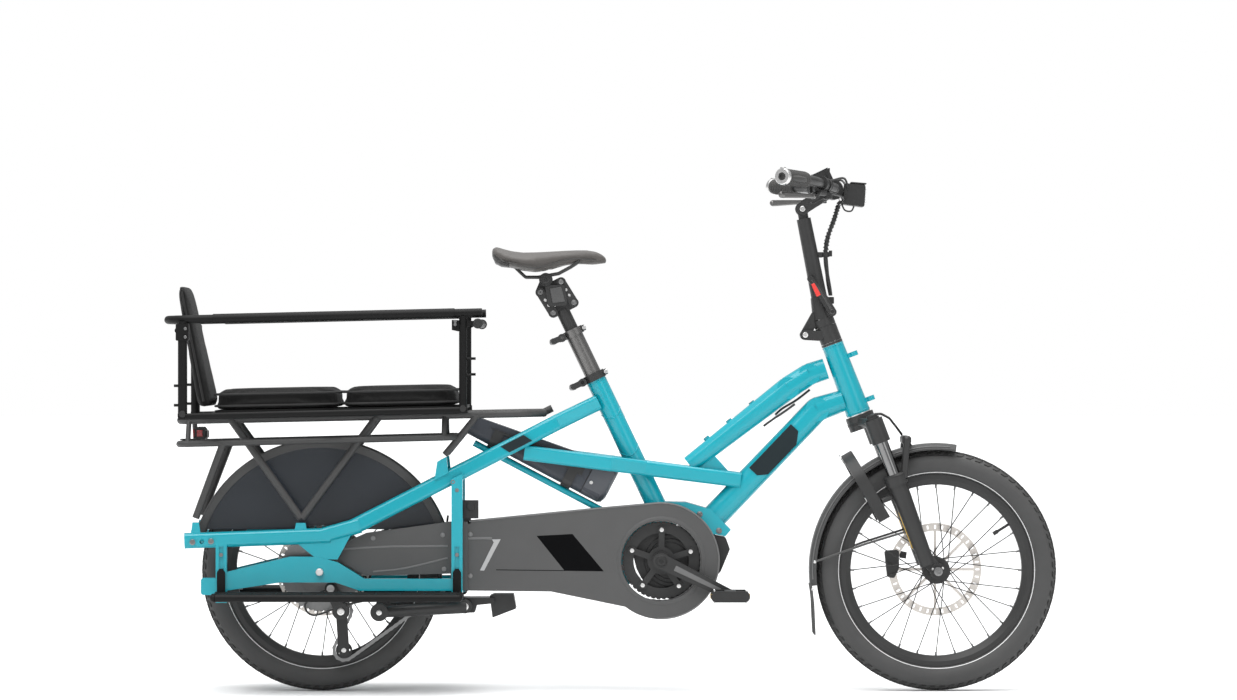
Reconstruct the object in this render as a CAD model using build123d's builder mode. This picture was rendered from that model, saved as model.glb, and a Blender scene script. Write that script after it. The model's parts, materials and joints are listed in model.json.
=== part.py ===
"""Longtail cargo bicycle with passenger rail, seat pads and foot rests.

Millimetres. +X is forward, +Y is the rider's left, +Z is up. The origin is under the middle of the bicycle,
on the ground.
"""
from build123d import *
from math import asin, atan2, cos, degrees, pi, radians, sin, sqrt, tan
import os

os.makedirs("parts", exist_ok=True)

# ---------------------------------------------------------------- driving dimensions
wheelbase = 1342.0
tyre_radius = 263.0
tyre_width = 60.0
rear_axle_x = -634.8
running_fit = 0.05
seat_gap = 0.3
body_gap = 0.6

axle_z = tyre_radius
front_axle_x = rear_axle_x + wheelbase

rim_outer = 210.0
rim_bed = 201.0
rim_inner = 187.0
rim_width = 34.0
spoke_count = 28
spoke_radius = 1.1
rotor_radius = 101.5
rotor_thickness = 2.0

head_angle = 69.3
head_offset = 37.5
fork_leg_x = 22.0
fork_leg_y = 62.0
fork_travel = 65.0
steerer_radius = 14.3
stanchion_radius = 14.0
head_tube_low = 380.0
head_tube_high = 541.0
cup_top = 547.0
hinge_up = 584.4
front_axle_radius = 7.5
front_hub_half = 38.5
rear_axle_radius = 6.0
rear_hub_half = 34.0
dropout_y = 73.0
stay_y = 87.0
stay_width = 26.0

crank_x = 105.9
crank_z = 285.8
crank_length = 165.0
crank_angle = -26.2
crank_arm_y = 80.0
crank_arm_thick = 14.0
chainring_teeth = 44
cog_teeth = [46, 40, 36, 32, 28, 25, 22, 20, 18, 16, 14]
drive_cog = 4
cog_pitch = 3.2
first_cog_y = -37.0
chain_pitch = 12.7
chain_height = 8.4
chain_width = 4.6

seat_low = (89.9, 416.0)
seat_top = (-36.1, 678.0)
outer_post_radius = 18.5
inner_post_radius = 15.0

rack_rear_x = -940.0
rack_rear_z = 591.0
rack_front_x = -148.0
rack_front_z = 607.0
rack_rail_y = 70.0
rack_rail_radius = 8.5
rail_y = 165.0

post_hinge = (420.8, 776.8)
bar_centre = (482.0, 1094.0)

stand_pivot = (-321.0, 186.0)
stand_foot = (-505.0, 176.0)


# ---------------------------------------------------------------- helpers
def point(place, y=0.0):
    """A world point from a side-view place and a distance to the left."""
    return Vector(place[0], y, place[1])


def run_plane(start, end):
    """A plane at start that faces end, with its local x level across the bicycle, and the distance to end."""
    run = Vector(*end) - Vector(*start)
    axis = run.normalized()
    guide = Vector(0, 1, 0) if abs(axis.Y) < 0.95 else Vector(1, 0, 0)
    across = (guide - axis * axis.dot(guide)).normalized()
    return Plane(origin=start, x_dir=across, z_dir=axis), run.length


def round_bar(start, end, radius, bore=0.0, mode=Mode.ADD):
    """A round bar or tube between two points."""
    plane, length = run_plane(start, end)
    with BuildSketch(plane) as section:
        Circle(radius)
        if bore:
            Circle(bore, mode=Mode.SUBTRACT)
    extrude(section.sketch, amount=length, mode=mode)


def box_tube(start, end, width, depth, mode=Mode.ADD):
    """A tube of rounded-rectangle section, width across the bicycle and depth in the side view."""
    plane, length = run_plane(start, end)
    with BuildSketch(plane) as section:
        RectangleRounded(width, depth, 0.35 * min(width, depth))
    extrude(section.sketch, amount=length, mode=mode)


def taper_tube(start, end, width, depth, end_width, end_depth):
    """A tube whose rounded section changes from one end to the other."""
    plane, length = run_plane(start, end)
    with BuildSketch(plane) as low:
        RectangleRounded(width, depth, 0.42 * min(width, depth))
    with BuildSketch(plane.offset(length)) as high:
        RectangleRounded(end_width, end_depth, 0.42 * min(end_width, end_depth))
    loft([low.sketch, high.sketch])


def cone_bar(start, end, radius, end_radius, mode=Mode.ADD):
    """A round bar that tapers."""
    plane, length = run_plane(start, end)
    with BuildSketch(plane) as low:
        Circle(radius)
    with BuildSketch(plane.offset(length)) as high:
        Circle(end_radius)
    loft([low.sketch, high.sketch], mode=mode)


def ball(place, radius):
    """A ball that rounds the joint of two bars."""
    with Locations(place):
        Sphere(radius)


def side_plate(outline, y_low, y_high, rounding=0.0, mode=Mode.ADD):
    """A plate with a side-view outline, from y_low to y_high."""
    with BuildSketch(Plane.XZ.offset(-y_high)) as section:
        with BuildLine():
            Polyline(*outline, close=True)
        make_face()
        if rounding:
            fillet(section.vertices(), rounding)
    extrude(section.sketch, amount=y_high - y_low, mode=mode)


def side_disc(place, radius, y_low, y_high, bore=0.0, mode=Mode.ADD):
    """A disc or ring whose axis runs across the bicycle."""
    with BuildSketch(Plane.XZ.offset(-y_high)) as section:
        with Locations((place[0], place[1])):
            Circle(radius)
            if bore:
                Circle(bore, mode=Mode.SUBTRACT)
    extrude(section.sketch, amount=y_high - y_low, mode=mode)


def side_slot(start, end, radius, y_low, y_high, mode=Mode.ADD):
    """A strap with round ends in the side view."""
    length = sqrt((end[0] - start[0]) ** 2 + (end[1] - start[1]) ** 2)
    slope = degrees(atan2(end[1] - start[1], end[0] - start[0]))
    middle = ((start[0] + end[0]) / 2, (start[1] + end[1]) / 2)
    with BuildSketch(Plane.XZ.offset(-y_high)) as section:
        with Locations(Location((middle[0], middle[1], 0), (0, 0, slope))):
            SlotCenterToCenter(length, 2 * radius)
    extrude(section.sketch, amount=y_high - y_low, mode=mode)


def bent_bar(points, radius, bend):
    """A round bar along straight runs joined by tangent arcs."""
    radii = bend if isinstance(bend, list) else [bend] * (len(points) - 2)
    with BuildLine() as path:
        FilletPolyline(*points, radius=radii)
    start_plane = Plane(origin=path.line @ 0, z_dir=path.line % 0)
    with BuildSketch(start_plane) as section:
        Circle(radius)
    sweep(section.sketch, path=path.line)


def radial_plane(axle_x, angle=90.0, height=axle_z):
    """A plane through an axle: local x runs along the axle and local y outwards at the side-view angle."""
    lean = radians(angle)
    return Plane(origin=(axle_x, 0, height), x_dir=(0, 1, 0), z_dir=(sin(lean), 0, -cos(lean)))


def axle_axis(axle_x, height=axle_z):
    """The axis of an axle, turned so that angles grow from forward to up."""
    return Axis((axle_x, 0, height), (0, -1, 0))


def turned(axle_x, outline, angle=90.0, sweep_angle=360.0, height=axle_z, mode=Mode.ADD):
    """A body turned about an axle from an outline of (distance to the left, radius) points."""
    with BuildSketch(radial_plane(axle_x, angle, height)) as section:
        with BuildLine():
            Polyline(*outline, close=True)
        make_face()
    revolve(section.sketch, axis=axle_axis(axle_x, height), revolution_arc=sweep_angle, mode=mode)


def finish_part(builder, name):
    """Label a finished piece and write it."""
    builder.part.label = name
    export_step(builder.part, "parts/" + name + ".step")


def pitch_radius(teeth):
    """The pitch radius of a chain wheel."""
    return chain_pitch / 2 / sin(pi / teeth)


# ---------------------------------------------------------------- steering frame
steer_up = Vector(-cos(radians(head_angle)), 0, sin(radians(head_angle)))
steer_out = Vector(sin(radians(head_angle)), 0, cos(radians(head_angle)))
steer_foot = Vector(front_axle_x, 0, axle_z) - steer_out * head_offset


def steer(out, left, up):
    """A world point from steering coordinates: out in front of the axis, left, and up along it from the axle."""
    return steer_foot + steer_out * out + Vector(0, left, 0) + steer_up * up


def steer_plane(up, out=0.0, left=0.0):
    """A plane square to the steering axis."""
    return Plane(origin=steer(out, left, up), x_dir=steer_out, z_dir=steer_up)


def steer_disc(low, high, radius, bore=0.0, out=0.0, left=0.0, mode=Mode.ADD):
    """A disc or ring along the steering axis or along a line beside it."""
    with BuildSketch(steer_plane(low, out, left)) as section:
        Circle(radius)
        if bore:
            Circle(bore, mode=Mode.SUBTRACT)
    extrude(section.sketch, amount=high - low, mode=mode)


# ---------------------------------------------------------------- wheels
def make_tyre(name, axle_x):
    """A tyre: an open ring whose beads sit on the rim."""
    crown = tyre_radius - tyre_width / 2 + 0.5
    bead_half = rim_width / 2 - 3.0
    with BuildPart() as tyre:
        with BuildSketch(radial_plane(axle_x)) as section:
            with Locations((0, crown)):
                Circle(tyre_width / 2 - 0.5)
            with Locations((0, (rim_bed + crown) / 2)):
                Rectangle(2 * bead_half - 0.4, crown - rim_bed)
            with Locations((0, crown)):
                Circle(tyre_width / 2 - 5.0, mode=Mode.SUBTRACT)
            with Locations((0, (rim_bed + crown) / 2 - 1)):
                Rectangle(2 * bead_half - 7.0, crown - rim_bed + 2, mode=Mode.SUBTRACT)
            for side in (1, -1):
                with Locations((side * (bead_half - 0.2 + 10), rim_outer + seat_gap - 10)):
                    Rectangle(20, 20, mode=Mode.SUBTRACT)
        revolve(section.sketch, axis=axle_axis(axle_x), revolution_arc=360)
    finish_part(tyre, name)


def make_rim(name, axle_x):
    """A box-section rim with two bead flanges."""
    half = rim_width / 2
    outline = [
        (-half, rim_outer), (-half, 199), (-11, rim_inner), (11, rim_inner), (half, 199), (half, rim_outer),
        (half - 3, rim_outer), (half - 3, rim_bed), (-half + 3, rim_bed), (-half + 3, rim_outer),
    ]
    hollow = [(-half + 3, 198.5), (-10, rim_inner + 2), (10, rim_inner + 2), (half - 3, 198.5)]
    with BuildPart() as rim:
        turned(axle_x, outline)
        turned(axle_x, hollow, mode=Mode.SUBTRACT)
    finish_part(rim, name)


def make_hub(name, axle_x, half, flange, shell, bore):
    """A hub shell with two flanges and its crossed spokes."""
    flange_y = half - 8.0
    outline = [
        (-half, bore), (half, bore), (half, shell), (flange_y + 2, shell), (flange_y + 2, flange),
        (flange_y - 2, flange), (flange_y - 4, shell), (-flange_y + 4, shell), (-flange_y + 2, flange),
        (-flange_y - 2, flange), (-flange_y - 2, shell + 2), (-half, shell),
    ]
    with BuildPart() as hub:
        turned(axle_x, outline)
        for number in range(spoke_count):
            rim_angle = radians(360.0 * number / spoke_count)
            cross = radians(52.0) * (1 if number % 4 < 2 else -1)
            side = 1 if number % 2 else -1
            hub_angle = rim_angle + cross
            start = Vector(cos(hub_angle), 0, sin(hub_angle)) * (flange - 3) + Vector(axle_x, side * flange_y, axle_z)
            tip = Vector(cos(rim_angle), 0, sin(rim_angle)) * (rim_inner - 0.6)
            end = tip + Vector(axle_x, side * 3.0, axle_z)
            round_bar(start, end, spoke_radius)
    finish_part(hub, name)


def make_rotor(name, axle_x, y, inner):
    """A brake disc: a slotted outer ring on curved arms."""
    with BuildPart() as rotor:
        with BuildSketch(Plane.XZ.offset(-(y + rotor_thickness))) as section:
            with Locations((axle_x, axle_z)):
                Circle(rotor_radius)
                Circle(rotor_radius - 17, mode=Mode.SUBTRACT)
                with PolarLocations(rotor_radius - 8.5, 36):
                    SlotOverall(9, 4, mode=Mode.SUBTRACT)
            with Locations((axle_x, axle_z)):
                Circle(inner + 9)
                with PolarLocations((rotor_radius - 14 + inner + 4) / 2, 8):
                    Rectangle(rotor_radius - 14 - inner - 4, 6)
            with Locations((axle_x, axle_z)):
                Circle(inner, mode=Mode.SUBTRACT)
        extrude(section.sketch, amount=rotor_thickness)
    finish_part(rotor, name)


front_rotor_y = front_hub_half - 5.0
rear_rotor_y = rear_hub_half - 5.0
front_shell = 16.0
rear_shell = 17.0
make_tyre("front_tyre", front_axle_x)
make_rim("front_rim", front_axle_x)
make_hub("front_hub", front_axle_x, front_hub_half, 29.0, front_shell, front_axle_radius + running_fit)
make_rotor("front_rotor", front_axle_x, front_rotor_y, front_shell + 0.1)
make_tyre("rear_tyre", rear_axle_x)
make_rim("rear_rim", rear_axle_x)
make_hub("rear_hub", rear_axle_x, rear_hub_half, 29.0, rear_shell, rear_axle_radius + running_fit)
make_rotor("rear_rotor", rear_axle_x, rear_rotor_y, rear_shell + 0.1)

# ---------------------------------------------------------------- cassette and chain
with BuildPart() as cassette:
    last_y = first_cog_y - cog_pitch * (len(cog_teeth) - 1)
    side_disc((rear_axle_x, axle_z), 16.0, last_y - 1.2, -rear_hub_half - body_gap, rear_axle_radius + running_fit)
    for number, teeth in enumerate(cog_teeth):
        cog_y = first_cog_y - cog_pitch * number
        root = pitch_radius(teeth) - chain_height / 2 - 0.3
        with BuildSketch(Plane.XZ.offset(-(cog_y + 0.6))) as cog:
            with Locations((rear_axle_x, axle_z)):
                Circle(root)
                Circle(15.0, mode=Mode.SUBTRACT)
                with PolarLocations(root, teeth):
                    Circle(2.0, mode=Mode.SUBTRACT)
                if teeth > 26:
                    with PolarLocations(root * 0.66, 8):
                        Circle(root * 0.16, mode=Mode.SUBTRACT)
        extrude(cog.sketch, amount=1.2)
finish_part(cassette, "cassette")

chain_y = first_cog_y - cog_pitch * drive_cog
ring_radius = pitch_radius(chainring_teeth)
cog_radius = pitch_radius(cog_teeth[drive_cog])
jockey_radius = pitch_radius(11)
guide_pulley = (-590.0, 176.0)
tension_pulley = (-584.4, 91.0)
idler = (-330.0, 267.0)
idler_radius = 16.0


def tangent(first, first_radius, second, second_radius, first_side, second_side):
    """The points where a line touches two circles; a side of +1 keeps the circle on the right of the line."""
    dx = second[0] - first[0]
    dz = second[1] - first[1]
    length = sqrt(dx * dx + dz * dz)
    lean = asin((second_side * second_radius - first_side * first_radius) / length)
    normal = atan2(dz, dx) + pi / 2 + lean
    start = (first[0] + first_side * first_radius * cos(normal), first[1] + first_side * first_radius * sin(normal))
    end = (second[0] + second_side * second_radius * cos(normal), second[1] + second_side * second_radius * sin(normal))
    return start, end


def chain_outline(shift):
    """The closed chain line, moved outwards by a distance, round five wheels in order."""
    wheels = [
        ((rear_axle_x, axle_z), cog_radius, 1),
        ((crank_x, crank_z), ring_radius, 1),
        (idler, idler_radius, 1),
        (tension_pulley, jockey_radius, 1),
        (guide_pulley, jockey_radius, -1),
    ]
    rows = [(place, radius + side * shift, side) for place, radius, side in wheels]
    runs = []
    for number, (place, radius, side) in enumerate(rows):
        after = rows[(number + 1) % len(rows)]
        runs.append(tangent(place, radius, after[0], after[1], side, after[2]))
    for number, (place, radius, side) in enumerate(rows):
        before = runs[number - 1]
        arrive, leave = before[1], runs[number][0]
        start_angle = atan2(arrive[1] - place[1], arrive[0] - place[0])
        end_angle = atan2(leave[1] - place[1], leave[0] - place[0])
        turn = (end_angle - start_angle) * -side % (2 * pi) * -side
        middle = start_angle + turn / 2
        bulge = (place[0] + radius * cos(middle), place[1] + radius * sin(middle))
        ThreePointArc(arrive, bulge, leave)
        Line(leave, runs[number][1])


with BuildPart() as chain:
    with BuildSketch(Plane.XZ.offset(-(chain_y + chain_width / 2))) as band:
        with BuildLine():
            chain_outline(chain_height / 2)
        make_face()
        with BuildLine():
            chain_outline(-chain_height / 2)
        make_face(mode=Mode.SUBTRACT)
    extrude(band.sketch, amount=chain_width)
finish_part(chain, "chain")

# ---------------------------------------------------------------- crank, chainring and pedals
crank_centre = (crank_x, crank_z)
arm_run = Vector(cos(radians(crank_angle)), 0, sin(radians(crank_angle))) * crank_length
right_eye = (crank_x + arm_run.X, crank_z + arm_run.Z)
left_eye = (crank_x - arm_run.X, crank_z - arm_run.Z)
crank_axle_radius = 10.0
pedal_axle_radius = 4.5
pedal_start_y = crank_arm_y + crank_arm_thick + 1.0
pedal_width = 92.0


def crank_arm(eye, y_low, y_high):
    """A forged arm from the crank axle to a pedal eye."""
    with BuildSketch(Plane.XZ.offset(-y_high)) as section:
        with BuildLine():
            arm_slope = atan2(eye[1] - crank_z, eye[0] - crank_x)
            side = (-sin(arm_slope), cos(arm_slope))
            Polyline(
                (crank_x + 16.5 * side[0], crank_z + 16.5 * side[1]),
                (eye[0] + 12 * side[0], eye[1] + 12 * side[1]),
                (eye[0] - 12 * side[0], eye[1] - 12 * side[1]),
                (crank_x - 16.5 * side[0], crank_z - 16.5 * side[1]),
                close=True,
            )
        make_face()
        with Locations((crank_x, crank_z)):
            Circle(17.5)
        with Locations(eye):
            Circle(12.5)
    extrude(section.sketch, amount=y_high - y_low)


with BuildPart() as crankset:
    round_bar((crank_x, -crank_arm_y - 2, crank_z), (crank_x, crank_arm_y + 2, crank_z), crank_axle_radius)
    crank_arm(right_eye, -crank_arm_y - crank_arm_thick, -crank_arm_y)
    crank_arm(left_eye, crank_arm_y, crank_arm_y + crank_arm_thick)
    side_disc(crank_centre, 20.0, -crank_arm_y, -chain_width / 2 + chain_y - 1.2, crank_axle_radius - 1)
    with BuildSketch(Plane.XZ.offset(-(chain_y - 1.6))) as spider:
        with Locations(crank_centre):
            Circle(30.0)
            Circle(crank_axle_radius - 1, mode=Mode.SUBTRACT)
            with PolarLocations(46.0, 5, start_angle=17):
                Rectangle(46.0, 13.0)
            with PolarLocations(67.0, 5, start_angle=17):
                Circle(9.0)
            with PolarLocations(67.0, 5, start_angle=17):
                Circle(3.5, mode=Mode.SUBTRACT)
    extrude(spider.sketch, amount=5.0)
    for eye, sign in ((right_eye, -1), (left_eye, 1)):
        near = sign * (crank_arm_y + crank_arm_thick - 2)
        far = sign * (pedal_start_y + pedal_width - 12)
        round_bar((eye[0], near, eye[1]), (eye[0], far, eye[1]), pedal_axle_radius)
finish_part(crankset, "crankset")

with BuildPart() as chainring:
    with BuildSketch(Plane.XZ.offset(-(chain_y + 1.5))) as ring:
        with Locations(crank_centre):
            ring_root = ring_radius - chain_height / 2 - 0.4
            Circle(ring_root)
            Circle(60.0, mode=Mode.SUBTRACT)
            with PolarLocations(ring_root, chainring_teeth):
                Circle(2.2, mode=Mode.SUBTRACT)
            with PolarLocations(67.0, 5, start_angle=17):
                Circle(9.0)
            with PolarLocations(67.0, 5, start_angle=17):
                Circle(3.5, mode=Mode.SUBTRACT)
    extrude(ring.sketch, amount=3.0)
    for number in range(5):
        bolt_angle = radians(17 + 72 * number)
        bolt = (crank_x + 67 * cos(bolt_angle), crank_z + 67 * sin(bolt_angle))
        side_disc(bolt, 3.4, chain_y - 8.0, chain_y + 1.5)
        side_disc(bolt, 5.5, chain_y - 9.0, chain_y - 6.7)
finish_part(chainring, "chainring")


def make_pedal(name, eye, sign):
    """A flat pedal: a caged platform that turns on its axle."""
    near = sign * pedal_start_y
    far = sign * (pedal_start_y + pedal_width)
    low, high = min(near, far), max(near, far)
    with BuildPart() as pedal:
        side_slot((eye[0] - 30, eye[1]), (eye[0] + 30, eye[1]), 12.0, low, high)
        for shift in (-24, 24):
            with BuildSketch(Plane.XY.offset(eye[1] - 15)) as window:
                with Locations((eye[0] + shift, (low + high) / 2)):
                    RectangleRounded(24, pedal_width - 22, 4)
            extrude(window.sketch, amount=30, mode=Mode.SUBTRACT)
        round_bar((eye[0], low, eye[1]), (eye[0], high, eye[1]), 9.5)
        bore = sorted((near - sign, far - sign * 8))
        side_disc(eye, pedal_axle_radius + running_fit, bore[0], bore[1], mode=Mode.SUBTRACT)
    finish_part(pedal, name)


make_pedal("right_pedal", right_eye, -1)
make_pedal("left_pedal", left_eye, 1)

# ---------------------------------------------------------------- rear derailleur
with BuildPart() as derailleur_body:
    side_disc(guide_pulley, 18.5, -80.0, chain_y - 10.6)
    side_slot(guide_pulley, (-612.0, 226.0), 13.0, -78.0, -66.0)
    side_disc((-612.0, 226.0), 7.0, -dropout_y - 8, -dropout_y + 1)
    side_disc(guide_pulley, 5.0, chain_y - 11.0, chain_y + 3.5)
finish_part(derailleur_body, "derailleur_body")

with BuildPart() as derailleur_cage:
    cage_y = chain_y - 10.0
    side_slot(guide_pulley, tension_pulley, 12.0, cage_y, cage_y + 3.0)
    side_disc(guide_pulley, 5.0 + running_fit, cage_y - 1, cage_y + 4, mode=Mode.SUBTRACT)
    side_slot((guide_pulley[0] + 1.5, guide_pulley[1] - 42), tension_pulley, 9.0, chain_y + 4.0, chain_y + 6.0)
    side_disc(tension_pulley, 5.0, cage_y + 2, chain_y + 5.0)
    with BuildSketch(Plane.XZ.offset(-(chain_y + 1.5))) as wheel:
        with Locations(tension_pulley):
            Circle(jockey_radius - chain_height / 2 - 0.4)
            with PolarLocations(11.0, 5):
                Circle(2.6, mode=Mode.SUBTRACT)
    extrude(wheel.sketch, amount=3.0)
    jockey_disc = jockey_radius - chain_height / 2 - 0.4
    side_disc(guide_pulley, jockey_disc, chain_y - 1.5, chain_y + 1.5, 5.0 + running_fit)
finish_part(derailleur_cage, "derailleur_cage")

# ---------------------------------------------------------------- main frame
lateral_start = (-192.0, 521.0)
lateral_end = (279.0, 460.0)
side_top = (-34.0, 628.0)
side_bend = (-125.0, 584.0)
side_end = (-566.0, 358.0)
rail_front = (-629.0, 341.0)
rail_back = (-928.0, 330.0)
front_post_x = -337.0
rear_post_x = -848.0
lower_stay_z = 235.0
frame_split_x = -200.0
motor_half = 40.0
battery_angle = 27.8
battery_width = 84.0
battery_depth = 92.0
battery_length = 322.0
battery_low = Vector(-10, 0, 452)
battery_top_low = 43.0
battery_top_high = -4.0
under_tube_radius = 6.5
bracket_wall = 4.2
under_tube_drop = -(battery_depth / 2 + body_gap + bracket_wall + under_tube_radius + 0.5)
battery_dir = Vector(-cos(radians(battery_angle)), 0, sin(radians(battery_angle)))


def battery_place(along, up=0.0, left=0.0):
    """A point in the battery's own directions, measured from its lower end."""
    square = Vector(sin(radians(battery_angle)), 0, cos(radians(battery_angle)))
    return battery_low + battery_dir * along + square * up + Vector(0, left, 0)


def battery_wedge(drop=0.0):
    """The outline above the battery's sloping top, lowered by drop."""
    corners = ((-20, battery_top_low + 3), (battery_length + 20, battery_top_high - 3), (battery_length + 20, 80),
               (-20, 80))
    places = [battery_place(along, up - (drop if up < 80 else 0)) for along, up in corners]
    return [(place.X, place.Z) for place in places]


def battery_plane(along):
    """A plane square to the battery."""
    return Plane(origin=battery_place(along), x_dir=(0, 1, 0), z_dir=battery_dir)


cradle_half = 37.0
motor_outline = [
    (74, 232), (62, 248), (52, 268), (44, 300), (66, 342), (112, 361), (186, 357), (212, 341), (247, 335),
    (256, 310), (236, 262), (196, 216), (130, 200), (96, 210),
]
seat_axis = (point(seat_top) - point(seat_low)).normalized()
seat_tube_radius = 22.0


def on_seat_axis(distance):
    """A point on the seat tube's axis, measured up from its lower end."""
    return point(seat_low) + seat_axis * distance


seat_tube_length = (point(seat_top) - point(seat_low)).length

with BuildPart() as frame_front:
    with BuildSketch(steer_plane(head_tube_low)) as low_ring:
        Circle(27.0)
    with BuildSketch(steer_plane(head_tube_high)) as high_ring:
        Circle(23.5)
    loft([low_ring.sketch, high_ring.sketch])
    top_points = [(168, 493, 46, 38), (384, 661, 48, 50), (430, 691, 46, 48), (466, 703, 40, 46)]
    for before, after in zip(top_points, top_points[1:]):
        start, end = point(before), point(after)
        taper_tube(start, end, before[2], before[3], after[2], after[3])
    for place in top_points[1:3]:
        with BuildSketch(Plane.XZ.offset(2 - place[2] / 2)) as knee:
            with Locations((place[0], place[1])):
                Circle(place[3] / 2 - 1)
        extrude(knee.sketch, amount=place[2] - 4)
    down_points = [(196, 352, 56, 56), (447, 614, 50, 54), (505, 634, 44, 46)]
    for before, after in zip(down_points, down_points[1:]):
        taper_tube(point(before), point(after), before[2], before[3], after[2], after[3])
    for place in down_points[1:2]:
        with BuildSketch(Plane.XZ.offset(2 - place[2] / 2)) as knee:
            with Locations((place[0], place[1])):
                Circle(place[3] / 2 - 1)
        extrude(knee.sketch, amount=place[2] - 4)
    side_plate([(150, 480), (215, 522), (262, 470), (230, 453), (160, 463)], -14.0, 14.0)
    round_bar(point(seat_low) - seat_axis * 18, point(seat_top), seat_tube_radius)
    cradle = [
        (32, 232), (2, 262), (-5, 305), (10, 360), (45, 404), (105, 413), (160, 412), (215, 396), (258, 352),
        (246, 338), (213, 344), (188, 360), (110, 365), (62, 344), (37, 300), (44, 264), (62, 244),
    ]
    side_plate(cradle, -cradle_half, cradle_half)
    with BuildSketch(Plane.XZ.offset(-cradle_half - 1)) as pocket:
        with BuildLine():
            Polyline(*motor_outline, close=True)
        make_face()
        offset(amount=body_gap)
    extrude(pocket.sketch, amount=2 * cradle_half + 2, mode=Mode.SUBTRACT)
    for sign in (1, -1):
        box_tube(point(lateral_start, sign * 62), (0, sign * 56, 496), 20, 33)
        box_tube((-6, sign * 57, 497), (76, sign * 31, 486), 20, 33)
        box_tube((66, sign * 33, 487), point(lateral_end, sign * 21), 20, 33)
        box_tube(point(side_top, sign * 20), point(side_bend, sign * 62), 24, 34)
        box_tube(point(side_bend, sign * 62) + Vector(6, 0, 3), (frame_split_x, sign * 67, 545.5), 24, 34)
        round_bar(battery_place(-78, under_tube_drop, sign * 24), battery_place(300, under_tube_drop, sign * 24),
                  under_tube_radius)
    round_bar(battery_place(291, under_tube_drop, -27), battery_place(291, under_tube_drop, 27), under_tube_radius - 1.5)
    for up in (402.0, 506.0):
        steer_disc(up - 5, up + 5, 9.5, out=36.0)
        with BuildSketch(steer_plane(up - 5, 26.0)) as web:
            Rectangle(16.0, 12.0)
        extrude(web.sketch, amount=10)
        steer_disc(up - 6, up + 6, 4.0, out=37.5, mode=Mode.SUBTRACT)
    steer_disc(head_tube_low - 1, head_tube_high + 1, 20.0, mode=Mode.SUBTRACT)
    for place in ((207, 549), (256, 587), (306, 626)):
        top_run = Vector(384 - 168, 0, 661 - 493).normalized()
        boss_up = Vector(-top_run.Z, 0, top_run.X)
        round_bar(point(place) - boss_up * 12, point(place) + boss_up * 5, 7.0)
        round_bar(point(place) - boss_up * 12, point(place) + boss_up * 6, 2.6, mode=Mode.SUBTRACT)
    round_bar(on_seat_axis(60), on_seat_axis(seat_tube_length + 5), outer_post_radius + 0.5, mode=Mode.SUBTRACT)
    slot_foot = on_seat_axis(seat_tube_length - 38)
    box_tube(slot_foot + Vector(24, 0, 10), slot_foot + seat_axis * 60 + Vector(24, 0, 10), 3.0, 40.0,
             mode=Mode.SUBTRACT)
finish_part(frame_front, "frame_front")

# ---------------------------------------------------------------- rear frame
post_half = stay_width / 2
with BuildPart() as frame_rear:
    for sign in (1, -1):
        start = Vector(frame_split_x, sign * 67, 545.5)
        knee = point((-330.0, 478.8), sign * 75)
        end = point(side_end, sign * stay_y)
        box_tube(start, knee + (knee - start).normalized() * 7, 24, 34)
        box_tube(knee - (end - knee).normalized() * 7, end, 24.6, 34.6)
        low_y, high_y = sorted((sign * (stay_y - post_half), sign * (stay_y + post_half)))
        box_tube(point((-548, 364), sign * stay_y), point(rail_front, sign * stay_y), 26, 34)
        box_tube(point((-612, 341.5), sign * stay_y), point(rail_back, sign * stay_y), 26, 34)
        side_plate([(-860, 196), (-836, 196), (-836, 325), (-860, 325)], low_y, high_y)
        side_plate([(-349, 211), (-325, 211), (-325, 476), (-349, 464)], low_y, high_y)
        side_plate([(-892, 213), (-858, 213), (-858, 250), (-892, 250)], low_y, high_y, 6.0)
        side_plate([(-840, 222), (-840, 262), (-700, 296), (-640, 296), (-596, 284), (-538, 248), (-348, 248),
                    (-348, 222), (-548, 222), (-600, 240), (-660, 240), (-720, 240)], low_y + 3, high_y - 3)
        side_plate([(-690, 330), (-640, 290), (-596, 290), (-566, 345)], low_y + 4, high_y - 10)
        side_plate([(-386, 462), (-356, 477), (-360, 512), (-380, 502)], low_y + 6, high_y - 6)
        side_plate([(-915, 338), (-892, 338), (-897, 370), (-911, 370)], low_y + 6, high_y - 6)
        side_plate([(-690, 350), (-662, 350), (-666, 369), (-686, 369)], low_y + 6, high_y - 6)
        for place, radius in (((-910, 327.6), 3.7), ((-889.6, 328.6), 5.4), ((-869.8, 329.4), 3.7)):
            side_disc(place, radius, low_y - 1, high_y + 1, mode=Mode.SUBTRACT)
        side_disc((rear_axle_x, axle_z), 8.0, low_y - 1, high_y + 1, mode=Mode.SUBTRACT)
        groove = sorted((sign * (stay_y + post_half - 4), sign * (stay_y + post_half + 1)))
        for post_x in (front_post_x, rear_post_x):
            side_plate([(post_x - 5, 252), (post_x + 5, 252), (post_x + 5, 318), (post_x - 5, 318)],
                       groove[0], groove[1], mode=Mode.SUBTRACT)
    inner = stay_y - post_half + 1
    side_disc((front_post_x, 212.5), 8.0, -inner, inner)
    side_disc((-346, 458), 10.0, -inner, inner)
finish_part(frame_rear, "frame_rear")

# ---------------------------------------------------------------- battery, motor and chain case
with BuildPart() as battery:
    with BuildSketch(battery_plane(0)) as section:
        RectangleRounded(battery_width, battery_depth, 16)
    extrude(section.sketch, amount=battery_length)
    side_plate(battery_wedge(), -battery_width / 2 - 5, battery_width / 2 + 5, mode=Mode.SUBTRACT)
    end_face = battery.faces().sort_by(Axis((0, 0, 0), tuple(battery_dir)))[0]
    fillet(end_face.edges(), 6)
finish_part(battery, "battery")

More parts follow.
